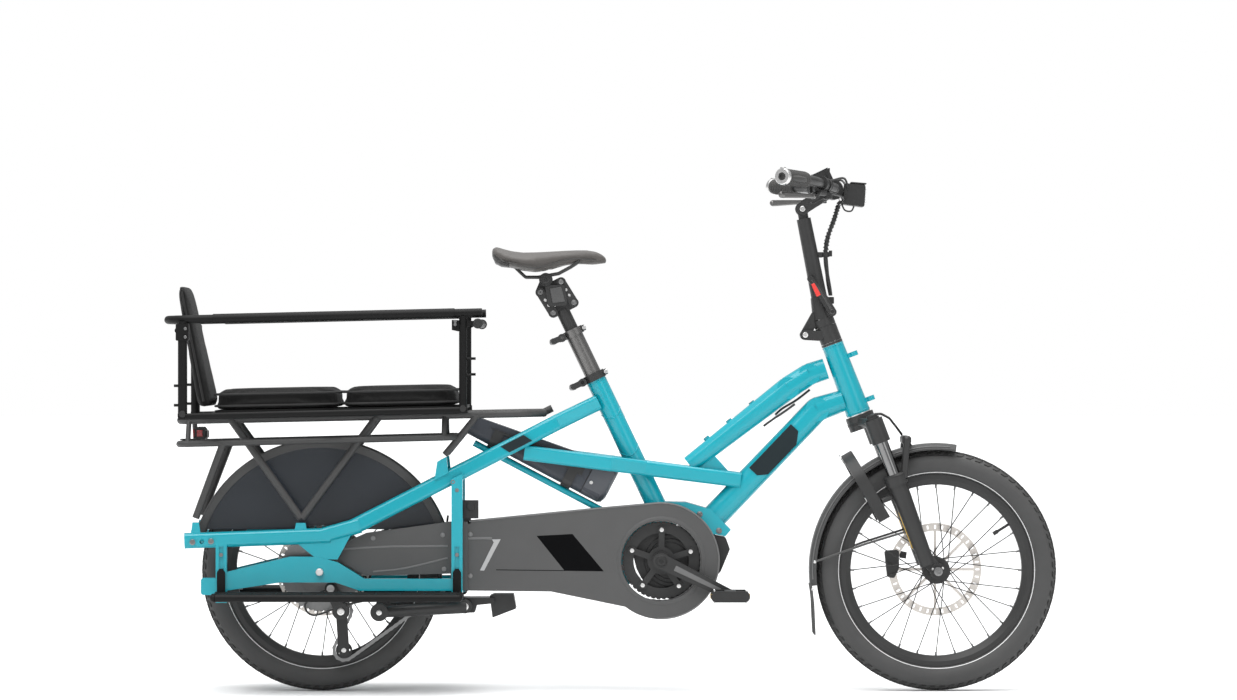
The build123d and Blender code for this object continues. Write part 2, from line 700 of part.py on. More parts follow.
with BuildPart() as motor_unit:
    side_plate(motor_outline, -motor_half, motor_half, 6.0)
    side_disc(crank_centre, 26.0, -motor_half - 4, motor_half + 8)
    side_disc((125, 285), 66.0, motor_half, motor_half + 4)
    side_disc(crank_centre, crank_axle_radius + running_fit, -motor_half - 6, motor_half + 10, mode=Mode.SUBTRACT)
finish_part(motor_unit, "motor_unit")

case_out = -67.0
case_in = -motor_half - seat_gap
case_wall = 2.5
case_radius = 127.0
case_window = 87.0
case_left = -316.0


def case_profile(inset=0.0):
    """The outline of the front chain case, moved inwards by inset."""
    outer = case_radius - inset
    upper = (crank_x - outer * sin(radians(5.5)), crank_z + outer * cos(radians(5.5)))
    lower = (crank_x - outer * cos(radians(52)), crank_z - outer * sin(radians(52)))
    rightmost = (crank_x + outer, crank_z)
    left = case_left + inset
    ThreePointArc(upper, rightmost, lower)
    Line(lower, (-134, 219 + inset))
    Line((-134, 219 + inset), (left, 221 + inset))
    Line((left, 221 + inset), (left, 373 - inset))
    Line((left, 373 - inset), (-33, 401 - inset))
    Line((-33, 401 - inset), upper)


with BuildPart() as chain_case:
    with BuildSketch(Plane.XZ.offset(-case_in)) as shell:
        with BuildLine():
            case_profile()
        make_face()
    extrude(shell.sketch, amount=case_in - case_out)
    with BuildSketch(Plane.XZ.offset(-case_in - 1)) as hollow:
        with BuildLine():
            case_profile(case_wall)
        make_face()
    extrude(hollow.sketch, amount=case_in - case_out - case_wall + 1, mode=Mode.SUBTRACT)
    side_disc(crank_centre, case_window, case_out - 1, case_out + case_wall + 1, mode=Mode.SUBTRACT)
    side_plate([(case_left - 2, 226), (case_left + 4, 226), (case_left + 4, 360), (case_left - 2, 360)],
               case_out + case_wall, case_in + 1, mode=Mode.SUBTRACT)
    rear_in = -43.0
    rear_out = -72.0
    rear_case = [(-611, 313), (-537, 346), (-352, 371), (-352, 258), (-535, 254), (-596, 287)]
    side_plate(rear_case, rear_out, rear_out + case_wall)
    side_plate([(-537, 346), (-352, 371), (-352, 368.5), (-537, 343.5)], rear_out + case_wall - 0.5, rear_in)
    side_plate([(-535, 254), (-440, 255.6), (-440, 258.1), (-535, 256.5)], rear_out + case_wall - 0.5, rear_in)
    side_disc(idler, idler_radius - chain_height / 2 - 0.4, chain_y - 2, chain_y + 2)
    side_disc(idler, 5.0, case_out + 0.5, chain_y)
    side_plate([(-352, 222), (case_left + 1, 222), (case_left + 1, 371), (-352, 371)], rear_out, rear_out + case_wall)
    side_plate([(case_left, 222), (case_left + 1.5, 222), (case_left + 1.5, 371), (case_left, 371)],
               rear_out, case_out + 1)
    side_disc(idler, 5.0, rear_out + 1, case_out + 1)
finish_part(chain_case, "chain_case")

# ---------------------------------------------------------------- rear mudguard and skirts
fender_out = 284.0
fender_in = 281.0
fender_half = 37.0
with BuildPart() as rear_fender:
    turned(rear_axle_x, [(-fender_half, fender_in), (fender_half, fender_in), (fender_half, fender_out),
                         (-fender_half, fender_out)], 21.0, 144.0)
    for sign in (1, -1):
        low, high = sorted((sign * fender_half, sign * (fender_half - 2.5)))
        turned(rear_axle_x, [(low, fender_in + 1), (high, fender_in + 1), (high, 268), (low, 268)], 21.0, 144.0)
        stay_end = stay_y - post_half - seat_gap
        round_bar((-899, sign * (fender_half - 2), 338), (-899, sign * stay_end, 338), 5.0)
finish_part(rear_fender, "rear_fender")

skirt_in = fender_half - 2.5 - seat_gap
with BuildPart() as wheel_skirts:
    for sign in (1, -1):
        low, high = sorted((sign * skirt_in, sign * (skirt_in - 2.0)))
        with BuildSketch(Plane.XZ.offset(-high)) as skirt:
            with Locations((rear_axle_x, axle_z)):
                Circle(fender_in - 1.5)
                Circle(99.0, mode=Mode.SUBTRACT)
            with Locations((rear_axle_x, axle_z - 110)):
                Rectangle(600, 400, mode=Mode.SUBTRACT)
        extrude(skirt.sketch, amount=2.0)
finish_part(wheel_skirts, "wheel_skirts")

# ---------------------------------------------------------------- rack
rack_run = (Vector(rack_front_x, 0, rack_front_z) - Vector(rack_rear_x, 0, rack_rear_z)).normalized()
rack_up = Vector(-rack_run.Z, 0, rack_run.X)


def rack_place(along, up=0.0, left=0.0):
    """A point on the rack: forward from its rear end along the rails, above their centre line, and left."""
    return Vector(rack_rear_x, left, rack_rear_z) + rack_run * along + rack_up * up


def rack_plane(up):
    """A plane level with the rails."""
    return Plane(origin=rack_place(0, up), x_dir=rack_run, z_dir=rack_up)


rack_length = sqrt((rack_front_x - rack_rear_x) ** 2 + (rack_front_z - rack_rear_z) ** 2)
lower_rail_y = 104.0
lower_rail_radius = 7.0
with BuildPart() as rack:
    bent_bar([rack_place(rack_length, 0, rack_rail_y * 0.55), rack_place(rack_length - 46, 0, rack_rail_y),
              rack_place(0, 0, rack_rail_y), rack_place(0, 0, -rack_rail_y),
              rack_place(rack_length - 46, 0, -rack_rail_y), rack_place(rack_length, 0, -rack_rail_y * 0.55)],
             rack_rail_radius, [40, 26, 26, 40])
    for along in (150, 300, 450, 600):
        round_bar(rack_place(along, -1, -rack_rail_y), rack_place(along, -1, rack_rail_y), 6.0)
    lower_rear = (-940, 540)
    lower_front = (-342, 555)
    bent_bar([point(lower_front, 24), point(lower_front, lower_rail_y), point(lower_rear, lower_rail_y),
              point(lower_rear, -lower_rail_y), point(lower_front, -lower_rail_y), point(lower_front, -24)],
             lower_rail_radius, [30, 24, 24, 30])
    round_bar(point(lower_front, 25), point(lower_front, -25), lower_rail_radius)
    for sign in (1, -1):
        for along in (20, 575):
            top = rack_place(along, 0, sign * rack_rail_y)
            round_bar(top, (top.X, sign * lower_rail_y, 541 + 0.025 * along), 5.5)
        lug_y = sign * stay_y
        round_bar((-843, sign * lower_rail_y, 542.4), (-904, lug_y, 380), 8.0)
        round_bar((-828, sign * (rack_rail_y + 3), 592), (-676, lug_y, 379), 8.0)
        round_bar((-513, sign * (rack_rail_y + 3), 598), (-674, lug_y, 379), 8.0)
        round_bar((-293, sign * (rack_rail_y + 1), 603), (-364, sign * 83, 516.5), 7.0)
    bridge = rack_place(rack_length - 4, 0, 0)
    round_bar(bridge + Vector(0, 42, 0), bridge + Vector(0, -42, 0), 7.0)
    round_bar(bridge, bridge + Vector(20, 0, 10), 8.0)
finish_part(rack, "rack")

with BuildPart() as tail_light:
    side_plate([(-908, 548.5), (-888, 548.5), (-888, 570), (-893, 576), (-908, 576)], -34, 34, 1.5)
    side_plate([(-893, 552), (-884, 553), (-884, 568), (-893, 568)], -28, 28)
    side_plate([(-912, 552), (-908, 552), (-908, 573), (-912, 573)], -30, 30)
    side_plate([(-945, 547.4), (-900, 547.4), (-900, 550), (-945, 550)], -12, 12)
finish_part(tail_light, "tail_light")

# ---------------------------------------------------------------- passenger rail, deck and pads
deck_low = 14.2
deck_thick = 6.6
pad_low = deck_low + deck_thick + seat_gap
pad_high = 64.0
deck_half = 124.0
hoop_front = (-281.0, 825.0)
hoop_back = (-961.0, 809.0)
hoop_radius = 9.0
with BuildPart() as safety_rail:
    bent_bar([point(hoop_front, rail_y), point(hoop_back, rail_y), point(hoop_back, -rail_y),
              point(hoop_front, -rail_y)], hoop_radius, 55.0)
    round_bar((-290, -rail_y, 801), (-290, rail_y, 801), 8.8)
    for sign in (1, -1):
        y = sign * rail_y
        low_y, high_y = sorted((sign * (rail_y - 9), sign * (rail_y + 9)))
        round_bar((-926, y, 598), (-926, y, 806), 10.0)
        round_bar((-322, y, 612), (-322, y, 818), 8.5)
        box_tube((-936, y, 600), (-312, y, 614.5), 14, 14)
        bracket = [(-346, 787), (-332, 784), (-306, 797), (-283, 797), (-283, 806), (-346, 809)]
        side_plate(bracket, low_y + 6, high_y - 6)
        side_plate([(-940, 764), (-912, 764), (-912, 800), (-940, 800)], low_y - 2, high_y + 2, 3.0)
        for bolt in ((-919, 772), (-919, 790), (-338.5, 799), (-338.5, 806)):
            side_disc(bolt, 3.2, y - 12.5, y + 12.5)
        for knob in ((-944.5, 625), (-944.5, 667)):
            round_bar((-926, y, knob[1]), (knob[0], y, knob[1]), 3.0)
        for knob in ((-304, 690), (-304, 725)):
            round_bar((-322, y, knob[1]), (knob[0], y, knob[1]), 3.0)
    for along in (70, 330, 590):
        start = rack_place(along, rack_rail_radius + 0.3 + 2.4, -rail_y)
        end = rack_place(along, rack_rail_radius + 0.3 + 2.4, rail_y)
        plane, length = run_plane(start, end)
        with BuildSketch(plane) as strap:
            RectangleRounded(26, 4.8, 1)
        extrude(strap.sketch, amount=length)
    round_bar((-937.2, -rail_y, 786), (-937.2, rail_y, 786), 6.0)
    with BuildSketch(rack_plane(deck_low)) as board:
        with Locations((352, 0)):
            RectangleRounded(545, 2 * deck_half, 10)
    extrude(board.sketch, amount=deck_thick)
finish_part(safety_rail, "safety_rail")


with BuildPart() as seat_pads:
    for start, end in ((79, 353), (356, 609)):
        with BuildSketch(rack_plane(pad_low)) as area:
            with Locations(((start + end) / 2, 0)):
                RectangleRounded(end - start, 2 * deck_half + 2, 22)
        extrude(area.sketch, amount=pad_high - pad_low)
    tops = seat_pads.faces().sort_by(Axis((0, 0, 0), tuple(rack_up)))[-2:]
    fillet([edge for face in tops for edge in face.edges()], 14)
    back_lean = Vector(-56, 0, 275).normalized()
    back_plane = Plane(origin=(-881.5, 0, 616.4), x_dir=(0, 1, 0), z_dir=back_lean)
    with BuildSketch(back_plane) as bottom:
        RectangleRounded(2 * deck_half - 14, 33, 14)
    with BuildSketch(back_plane.offset(277)) as top:
        RectangleRounded(2 * deck_half - 40, 24, 11)
    loft([bottom.sketch, top.sketch])
finish_part(seat_pads, "seat_pads")

# ---------------------------------------------------------------- foot rests
foot_inner = stay_y + stay_width / 2 + 20.0
foot_outer = foot_inner + 96.0
foot_radius = 8.5
foot_z = 212.0
with BuildPart() as foot_rests:
    for sign in (1, -1):
        ring = [(-855, foot_inner), (-855, foot_outer), (-330, foot_outer), (-330, foot_inner)]
        for number, corner in enumerate(ring):
            after = ring[(number + 1) % 4]
            round_bar((corner[0], sign * corner[1], foot_z), (after[0], sign * after[1], foot_z), foot_radius)
            ball((corner[0], sign * corner[1], foot_z), foot_radius + 0.4)
        low_y, high_y = sorted((sign * (foot_inner + 4), sign * (foot_outer - 4)))
        with BuildSketch(Plane.XY.offset(foot_z + 1)) as board:
            with Locations((-592.5, (low_y + high_y) / 2)):
                Rectangle(515, high_y - low_y)
            for column in range(9):
                with Locations((-808 + column * 54, (low_y + high_y) / 2)):
                    SlotOverall(high_y - low_y - 26, 22, rotation=90, mode=Mode.SUBTRACT)
        extrude(board.sketch, amount=4.0)
        for post_x in (front_post_x, rear_post_x):
            plate = sorted((sign * (stay_y + stay_width / 2 + seat_gap), sign * (stay_y + stay_width / 2 + 5)))
            side_plate([(post_x - 9, 206), (post_x + 9, 206), (post_x + 9, 262), (post_x + 4, 270), (post_x - 4, 270),
                        (post_x - 9, 262)], plate[0], plate[1])
            arm = sorted((sign * (stay_y + stay_width / 2 + 4), sign * (foot_inner)))
            side_disc((post_x, foot_z), 7.0, arm[0], arm[1])
finish_part(foot_rests, "foot_rests")

# ---------------------------------------------------------------- stand
stand_reach = 54.0
foot_reach = 104.0
stand_tube = 12.0
with BuildPart() as frame_brackets:
    side_plate([(-356, 204), (-258, 204), (-258, 192), (-296, 188), (-300, 172), (-342, 170), (-356, 186)],
               -stand_reach + 14, stand_reach - 14, 3.0)
    side_disc(stand_pivot, 8.0 + running_fit, -stand_reach, stand_reach, mode=Mode.SUBTRACT)
    side_plate([(-268, 208), (-258, 212), (-216, 212), (-210, 180), (-262, 160)], -30, 30, 2.5)
    for along in (70.0, 250.0):
        with BuildSketch(battery_plane(along)) as section:
            with Locations((0, 0)):
                RectangleRounded(battery_width + 2 * (body_gap + bracket_wall),
                                 battery_depth + 2 * (body_gap + bracket_wall), 19)
                RectangleRounded(battery_width + 2 * body_gap, battery_depth + 2 * body_gap, 16, mode=Mode.SUBTRACT)
        extrude(section.sketch, amount=22)
    for sign in (1, -1):
        rail_y_place = sign * (battery_width / 2 + body_gap + 2.2)
        start = battery_place(60, 0, rail_y_place)
        end = battery_place(282, 0, rail_y_place)
        box_tube(start, end, 3.2, 22)
    side_plate(battery_wedge(12.0), -battery_width / 2 - 12, battery_width / 2 + 12, mode=Mode.SUBTRACT)
finish_part(frame_brackets, "frame_brackets")

with BuildPart() as stand_legs:
    side_disc(stand_pivot, 8.0, -stand_reach - 6, stand_reach + 6)
    for sign in (1, -1):
        hub = sorted((sign * (stand_reach - 13.6), sign * (stand_reach + 10)))
        side_disc(stand_pivot, 15.0, hub[0], hub[1])
        start = point(stand_pivot, sign * stand_reach)
        end = point(stand_foot, sign * foot_reach)
        cone_bar(start, end, 15.0, stand_tube)
        foot = sorted((sign * (foot_reach - 17), sign * (foot_reach + 17)))
        side_disc(stand_foot, 18.5, foot[0], foot[1])
finish_part(stand_legs, "stand_legs")

with BuildPart() as frame_fasteners:
    round_bar((rear_axle_x, -stay_y - 15, axle_z), (rear_axle_x, stay_y + 15, axle_z), rear_axle_radius)
    for sign in (1, -1):
        washer = sorted((sign * (stay_y + stay_width / 2 - 2.4), sign * (stay_y + stay_width / 2 + 6)))
        side_disc((rear_axle_x, axle_z), 7.9, washer[0], washer[1])
        spacer = sorted((sign * (stay_y - stay_width / 2 + 3), sign * 44.5))
        if sign > 0:
            side_disc((rear_axle_x, axle_z), 10.0, spacer[0], spacer[1])
        for place in ((-910, 327.6), (-869.8, 329.4)):
            bolt = sorted((sign * (stay_y + post_half - 3), sign * (stay_y + post_half + 3.0)))
            side_disc(place, 3.6, bolt[0], bolt[1])
    steer_disc(head_tube_low, head_tube_low + 12, 19.9, steerer_radius + running_fit)
    steer_disc(head_tube_low - 2.2, head_tube_low, 26.0, steerer_radius + running_fit)
    steer_disc(head_tube_high - 12, head_tube_high, 19.9, steerer_radius + running_fit)
    steer_disc(head_tube_high, cup_top, 23.0, steerer_radius + running_fit)
finish_part(frame_fasteners, "frame_fasteners")

with BuildPart() as rear_caliper:
    caliper_y = rear_rotor_y
    side_plate([(-560, 300), (-520, 282), (-540, 250), (-578, 268)], caliper_y - 7.2, caliper_y + 20, 6.0)
    side_disc((rear_axle_x, axle_z), rotor_radius + 1.0, caliper_y - 1.0, caliper_y + rotor_thickness + 1.0,
              mode=Mode.SUBTRACT)
    side_plate([(-552, 262), (-528, 250), (-534, 240), (-556, 250)], caliper_y + 12, stay_y - 10.3)
finish_part(rear_caliper, "rear_caliper")

# ---------------------------------------------------------------- fork
crown_low = 305.0
crown_arch = 346.0
crown_high = head_tube_low - 2.6
stanchion_low = 110.0
lower_top = 225.0
boss_radius = 20.5
with BuildPart() as fork_crown:
    steer_disc(crown_arch, crown_high, 31.5)
    steer_disc(crown_arch, 588.0, steerer_radius)
    for sign in (1, -1):
        y = sign * fork_leg_y
        steer_disc(crown_low, crown_arch + 12, boss_radius, out=fork_leg_x, left=y)
        steer_disc(crown_arch + 12, crown_arch + 17, boss_radius - 6, out=fork_leg_x, left=y)
        steer_disc(stanchion_low, crown_low + 2, stanchion_radius, out=fork_leg_x, left=y)
        start, end = steer(4, sign * 12, crown_arch + 11), steer(fork_leg_x, y, crown_arch + 1)
        box_low, length = run_plane(start, end)
        with BuildSketch(box_low) as arm:
            RectangleRounded(42, 21, 7)
        extrude(arm.sketch, amount=length)
finish_part(fork_crown, "fork_crown")

with BuildPart() as fork_lowers:
    for sign in (1, -1):
        y = sign * fork_leg_y
        foot_end = steer(head_offset, y, 4)
        with BuildSketch(steer_plane(60, fork_leg_x, y)) as low:
            Circle(17.0)
        with BuildSketch(steer_plane(205, fork_leg_x, y)) as high:
            Circle(21.0)
        loft([low.sketch, high.sketch])
        steer_disc(205, lower_top, 24.5, out=fork_leg_x, left=y)
        steer_disc(20, 60, 17.0, out=fork_leg_x, left=y)
        low_y, high_y = sorted((sign * (front_hub_half + 1.5), sign * (fork_leg_y + 12)))
        tip = steer(head_offset, 0, 0)
        side_disc((tip.X, tip.Z), 17.0, low_y, high_y)
        leg = steer(fork_leg_x, 0, 40)
        side_slot((tip.X, tip.Z), (leg.X, leg.Z), 14.0, low_y + 3, high_y - 3)
        arch_foot = steer(fork_leg_x + 18, y, 214)
        arch_top = steer(76, sign * 46, 290)
        box_tube(arch_foot, arch_top, 26, 14)
        ball(arch_top, 9.0)
    box_tube(steer(76, -46, 290), steer(76, 46, 290), 20, 18)
    for sign in (1, -1):
        y = sign * fork_leg_y
        steer_disc(40, lower_top + 1, stanchion_radius + running_fit, out=fork_leg_x, left=y, mode=Mode.SUBTRACT)
    tip = steer(head_offset, 0, 0)
    side_disc((tip.X, tip.Z), front_axle_radius, -90, 90, mode=Mode.SUBTRACT)
finish_part(fork_lowers, "fork_lowers")

with BuildPart() as front_axle:
    axle_half = fork_leg_y + 18
    side_disc((front_axle_x, axle_z), front_axle_radius, -axle_half, axle_half)
    side_disc((front_axle_x, axle_z), 11.0, -axle_half - 4, -axle_half)
finish_part(front_axle, "front_axle")

front_fender_in = 275.0
front_fender_out = 277.5
with BuildPart() as front_fender:
    half = 37.5
    crown_profile = [(-half, front_fender_in - 12), (-half + 7, front_fender_in), (half - 7, front_fender_in),
                     (half, front_fender_in - 12), (half, front_fender_in - 9), (half - 6.4, front_fender_out),
                     (-half + 6.4, front_fender_out), (-half, front_fender_in - 9)]
    turned(front_axle_x, crown_profile, 81.0, 106.0)
    flap = [(431, 236), (434.6, 236), (440, 190), (443, 123), (439, 123), (436, 188)]
    side_plate(flap, -36, 36)
    with BuildSketch(steer_plane(front_fender_in - 3.0, 76.0)) as tab:
        Rectangle(16, 30)
    extrude(tab.sketch, amount=7.0)
    for sign in (1, -1):
        stay = [Vector(440, sign * 35.5, 282), Vector(551, sign * 52, 322), Vector(637.9, sign * 62, 349)]
        round_bar(stay[0], stay[1], 2.5)
        round_bar(stay[1], stay[2], 2.5)
        ball(tuple(stay[1]), 2.5)
finish_part(front_fender, "front_fender")

with BuildPart() as front_caliper:
    caliper_y = front_rotor_y
    side_plate([(596, 304), (628, 306), (628, 266), (618, 244), (602, 246)], caliper_y - 9, caliper_y + 14, 6.0)
    side_disc((front_axle_x, axle_z), rotor_radius + 1.0, caliper_y - 1.2, caliper_y + rotor_thickness + 1.2,
              mode=Mode.SUBTRACT)
    side_plate([(628, 304), (646, 300), (644, 286), (630, 288)], caliper_y + 9, caliper_y + 14.5)
finish_part(front_caliper, "front_caliper")

# ---------------------------------------------------------------- ring lock
lock_low = (-31.0, 146.0)
lock_high = (-57.0, 308.0)
lock_half = 72.0
lock_axis = (steer(lock_high[0], 0, lock_high[1]) - steer(lock_low[0], 0, lock_low[1])).normalized()
lock_square = Vector(lock_axis.Z, 0, -lock_axis.X)
lock_length = (steer(lock_high[0], 0, lock_high[1]) - steer(lock_low[0], 0, lock_low[1])).length


def lock_plane(shift):
    """The ring lock's own plane: local x to the left and local y up along its arms."""
    return Plane(origin=steer(lock_low[0], 0, lock_low[1]) + lock_square * shift, x_dir=(0, 1, 0),
                 z_dir=(Vector(0, 1, 0).cross(lock_axis)))


lock_thick = 26.0
shackle_radius = 5.0
with BuildPart() as ring_lock:
    with BuildSketch(lock_plane(0)) as shape:
        with BuildLine():
            reach = lock_length - lock_half - 4
            Line((-lock_half - 4, 0), (-lock_half - 4, reach))
            ThreePointArc((-lock_half - 4, reach), (0, lock_length), (lock_half + 4, reach))
            Line((lock_half + 4, reach), (lock_half + 4, 0))
            Line((lock_half + 4, 0), (lock_half - 10, 0))
            Line((lock_half - 10, 0), (lock_half - 10, reach))
            ThreePointArc((lock_half - 10, reach), (0, lock_length - 13), (-lock_half + 10, reach))
            Line((-lock_half + 10, reach), (-lock_half + 10, 0))
            Line((-lock_half + 10, 0), (-lock_half - 4, 0))
        make_face()
    extrude(shape.sketch, amount=lock_thick / 2, both=True)
    for sign in (1, -1):
        start = steer(lock_low[0] + 8, sign * (lock_half - 4), lock_low[1] + 40)
        end = steer(fork_leg_x - 21.6, sign * (fork_leg_y + 0.5), lock_low[1] + 40)
        round_bar(start, end, 6.0)
    lock_centre = steer(lock_low[0], 0, lock_low[1]) + lock_axis * (lock_length - lock_half - 4)
    groove_radius = lock_half - 3.0
    with BuildSketch(Plane(origin=lock_centre, x_dir=lock_axis, z_dir=lock_square)) as groove:
        Circle(groove_radius + shackle_radius + running_fit * 4)
        Circle(groove_radius - shackle_radius - running_fit * 4, mode=Mode.SUBTRACT)
    extrude(groove.sketch, amount=shackle_radius + running_fit * 4, both=True, mode=Mode.SUBTRACT)
finish_part(ring_lock, "ring_lock")

# ---------------------------------------------------------------- handlepost and its hinge
post_base_top = hinge_up - seat_gap / 2
pivot_radius = 4.0
latch_pivot = (479.6, 827.0)
latch_tip = (431.5, 899.0)
post_low = (461.0, 812.0)
post_top = (417.8, 1031.0)
stem_pivot = (414.5, 1052.0)
with BuildPart() as post_base:
    steer_disc(cup_top + 0.4, post_base_top, 23.5, steerer_radius + running_fit)
    side_slot(post_hinge, (444, 818), 11.6, -11.4, 11.4, mode=Mode.SUBTRACT)
    for sign in (1, -1):
        ear = sorted((sign * 11.4, sign * 20.0))
        side_slot(post_hinge, (451, 775), 11.0, ear[0], ear[1])
    steer_disc(cup_top, hinge_up + 30, steerer_radius + running_fit, mode=Mode.SUBTRACT)
    side_disc(post_hinge, pivot_radius, -21.5, 21.5)
finish_part(post_base, "post_base")

with BuildPart() as handlepost:
    steer_disc(hinge_up + seat_gap, hinge_up + 17, 23.5)
    cone_bar(steer(0, 0, hinge_up + 16), point((451.5, 860)), 22.5, 18.8)
    cone_bar(point((453.4, 851)), point(post_top), 17.6, 15.5)
    side_slot(post_hinge, (444, 818), 11.0, -11.0, 11.0)
    side_disc(post_hinge, pivot_radius + running_fit, -12, 12, mode=Mode.SUBTRACT)
    side_slot((462, 822), latch_pivot, 9.5, -19.5, 19.5)
    side_disc(latch_pivot, pivot_radius + running_fit, -20, 20, mode=Mode.SUBTRACT)
    side_plate([(452, 845), (484, 845), (484, 860), (452, 860)], -8.0, 8.0, 2.0)
    side_disc(stem_pivot, 15.0, -12.0, 12.0)
    round_bar(point((418.5, 1027)), point(stem_pivot), 11.0)
    side_disc(stem_pivot, 5.0 + running_fit, -13.0, 13.0, mode=Mode.SUBTRACT)
    steer_disc(cup_top, 622.0 + 1.0, steerer_radius + 0.6, mode=Mode.SUBTRACT)
    side_plate([(442, 946), (458.9, 946), (458.9, 958), (442, 958)], -4.0, 4.0, 1.0)
finish_part(handlepost, "handlepost")

with BuildPart() as latch_lever:
    side_disc(latch_pivot, pivot_radius, -31.0, 23.5)
    side_disc(latch_pivot, 8.0, 20.0, 23.5)
    side_slot(latch_pivot, (446, 880), 9.0, -31.0, -20.4)
    side_slot((446, 880), latch_tip, 7.0, -29.5, -20.4)
finish_part(latch_lever, "latch_lever")

bar_radius = 11.1
bar_clamp_radius = 15.9
bar_end = (364.6, 1111.7)
bar_half = 330.0
with BuildPart() as stem_head:
    for sign in (1, -1):
        ear = sorted((sign * 12.4, sign * 20.0))
        side_slot(stem_pivot, (446, 1072), 13.0, ear[0], ear[1])
    side_disc(stem_pivot, 5.0, -21.5, 21.5)
    box_tube((439, 0, 1068), point(bar_centre), 40.0, 27.0)
    side_disc(bar_centre, 22.0, -22.0, 22.0)
    side_disc(bar_centre, bar_clamp_radius + 0.02, -23.0, 23.0, mode=Mode.SUBTRACT)
finish_part(stem_head, "stem_head")

bar_points = [(bar_end[0], bar_half, bar_end[1]), (433.0, 220.0, 1105.5), (482.0, 96.0, 1094.0)]
with BuildPart() as handlebar:
    mirrored = [(x, -y, z) for x, y, z in reversed(bar_points)]
    bent_bar(bar_points + mirrored, bar_radius, [90.0, 60.0, 60.0, 90.0])
    side_disc(bar_centre, bar_clamp_radius, -26.0, 26.0)
finish_part(handlebar, "handlebar")

grip_length = 118.0
grip_radius = 16.5
with BuildPart() as grips:
    for sign in (1, -1):
        end = Vector(bar_end[0], sign * bar_half, bar_end[1])
        inner = Vector(433.0, sign * 220.0, 1105.5)
        run = (inner - end).normalized()
        round_bar(end, end + run * (grip_length - 30), grip_radius, bar_radius + 0.02)
finish_part(grips, "grips")

with BuildPart() as headlight:
    side_plate([(507, 1108), (551, 1104), (552, 1098), (549, 1056), (503, 1062)], -31.0, 31.0, 3.0)
    side_plate([(500, 1088), (508, 1088), (508, 1074), (498, 1074)], -9.0, 9.0)
    side_disc(bar_centre, 22.0 + 0.02, -23.0, 23.0, mode=Mode.SUBTRACT)
finish_part(headlight, "headlight")

with BuildPart() as bar_fittings:
    for sign in (1, -1):
        knee, inner = Vector(433, sign * 220, 1105.5), Vector(482, sign * 96, 1094)
        inward = (inner - knee).normalized()
        mount = knee + inward * 46
        round_bar(mount - inward * 7, mount + inward * 7, 16.0, bar_radius + 0.02)
        round_bar(mount + inward * 20, mount + inward * 34, 15.0, bar_radius + 0.02)
        end = Vector(bar_end[0], sign * bar_half, bar_end[1])
        grip_run = (knee - end).normalized()
        round_bar(end - grip_run * 9, end - grip_run * 0.02, grip_radius + 0.8)
        yoke = Vector(442, sign * 196, 1083)
        round_bar(mount + Vector(6, 0, -19.5), yoke, 7.5)
        cheek = Vector(-0.797, -sign * 0.604, 0)
        for side in (1, -1):
            lever_pivot = Vector(430.0, sign * 216.0, 1074.0)
            round_bar(yoke + cheek * (5.5 * side), lever_pivot + cheek * (10.8 * side), 3.2)
    side_plate([(431, 1121), (474, 1142), (474, 1128), (466, 1118)], -30.0, 30.0, 1.5)
    for sign in (1, -1):
        strap = sorted((sign * 27.0, sign * 34.0))
        side_disc(bar_centre, 16.0, strap[0], strap[1], bar_radius + 0.02)
        side_plate([(474, 1106), (486, 1106), (474, 1132), (466, 1130)], strap[0], strap[1])
finish_part(bar_fittings, "bar_fittings")


def make_brake_lever(name, sign):
    """A brake lever blade on its pivot, under the grip."""
    with BuildPart() as lever:
        pivot = Vector(430.0, sign * 216.0, 1074.0)
        run = Vector(-78.0, sign * 103.0, 0.0).normalized()
        with BuildSketch(run_plane(pivot, pivot + run)[0]) as root:
            RectangleRounded(10, 9, 3)
        with BuildSketch(run_plane(pivot + run * 112, pivot + run * 113)[0]) as end:
            RectangleRounded(8, 14, 3)
        loft([root.sketch, end.sketch])
        ball(tuple(pivot + run * 116), 7.0)
        ball(tuple(pivot), 7.0)
    finish_part(lever, name)


make_brake_lever("right_brake_lever", -1)
make_brake_lever("left_brake_lever", 1)

# ---------------------------------------------------------------- seat
outer_post_low = 165.0
outer_post_high = 414.0
inner_post_low = 300.0
clamp_top = seat_tube_length + 16.5
link_low_rear = (-129.7, 824.9)
link_low_front = (-84.6, 847.5)
link_shift = (-27.8, 45.1)
link_high_rear = (link_low_rear[0] + link_shift[0], link_low_rear[1] + link_shift[1])
link_high_front = (link_low_front[0] + link_shift[0], link_low_front[1] + link_shift[1])
rail_clamp = (-145.7, 897.7)
pin_radius = 4.0
seat_side = seat_axis.cross(Vector(0, 1, 0)).normalized()

with BuildPart() as seatpost_outer:
    round_bar(on_seat_axis(outer_post_low), on_seat_axis(outer_post_high), outer_post_radius)
    round_bar(on_seat_axis(outer_post_high - 16), on_seat_axis(outer_post_high), outer_post_radius + 4.5)
    clamp_low = on_seat_axis(outer_post_high - 15) + seat_side * 26
    clamp_high = on_seat_axis(outer_post_high - 1) + seat_side * 26
    box_low, length = run_plane(clamp_low, clamp_high)
    with BuildSketch(box_low) as lug:
        RectangleRounded(30, 19, 3)
    extrude(lug.sketch, amount=length)
    round_bar(on_seat_axis(outer_post_low - 1), on_seat_axis(outer_post_high + 1), inner_post_radius + running_fit,
              mode=Mode.SUBTRACT)
    pin_place = on_seat_axis(outer_post_high - 8) + seat_side * 27
    round_bar(pin_place - Vector(0, 20, 0), pin_place + Vector(0, 20, 0), pin_radius)
finish_part(seatpost_outer, "seatpost_outer")

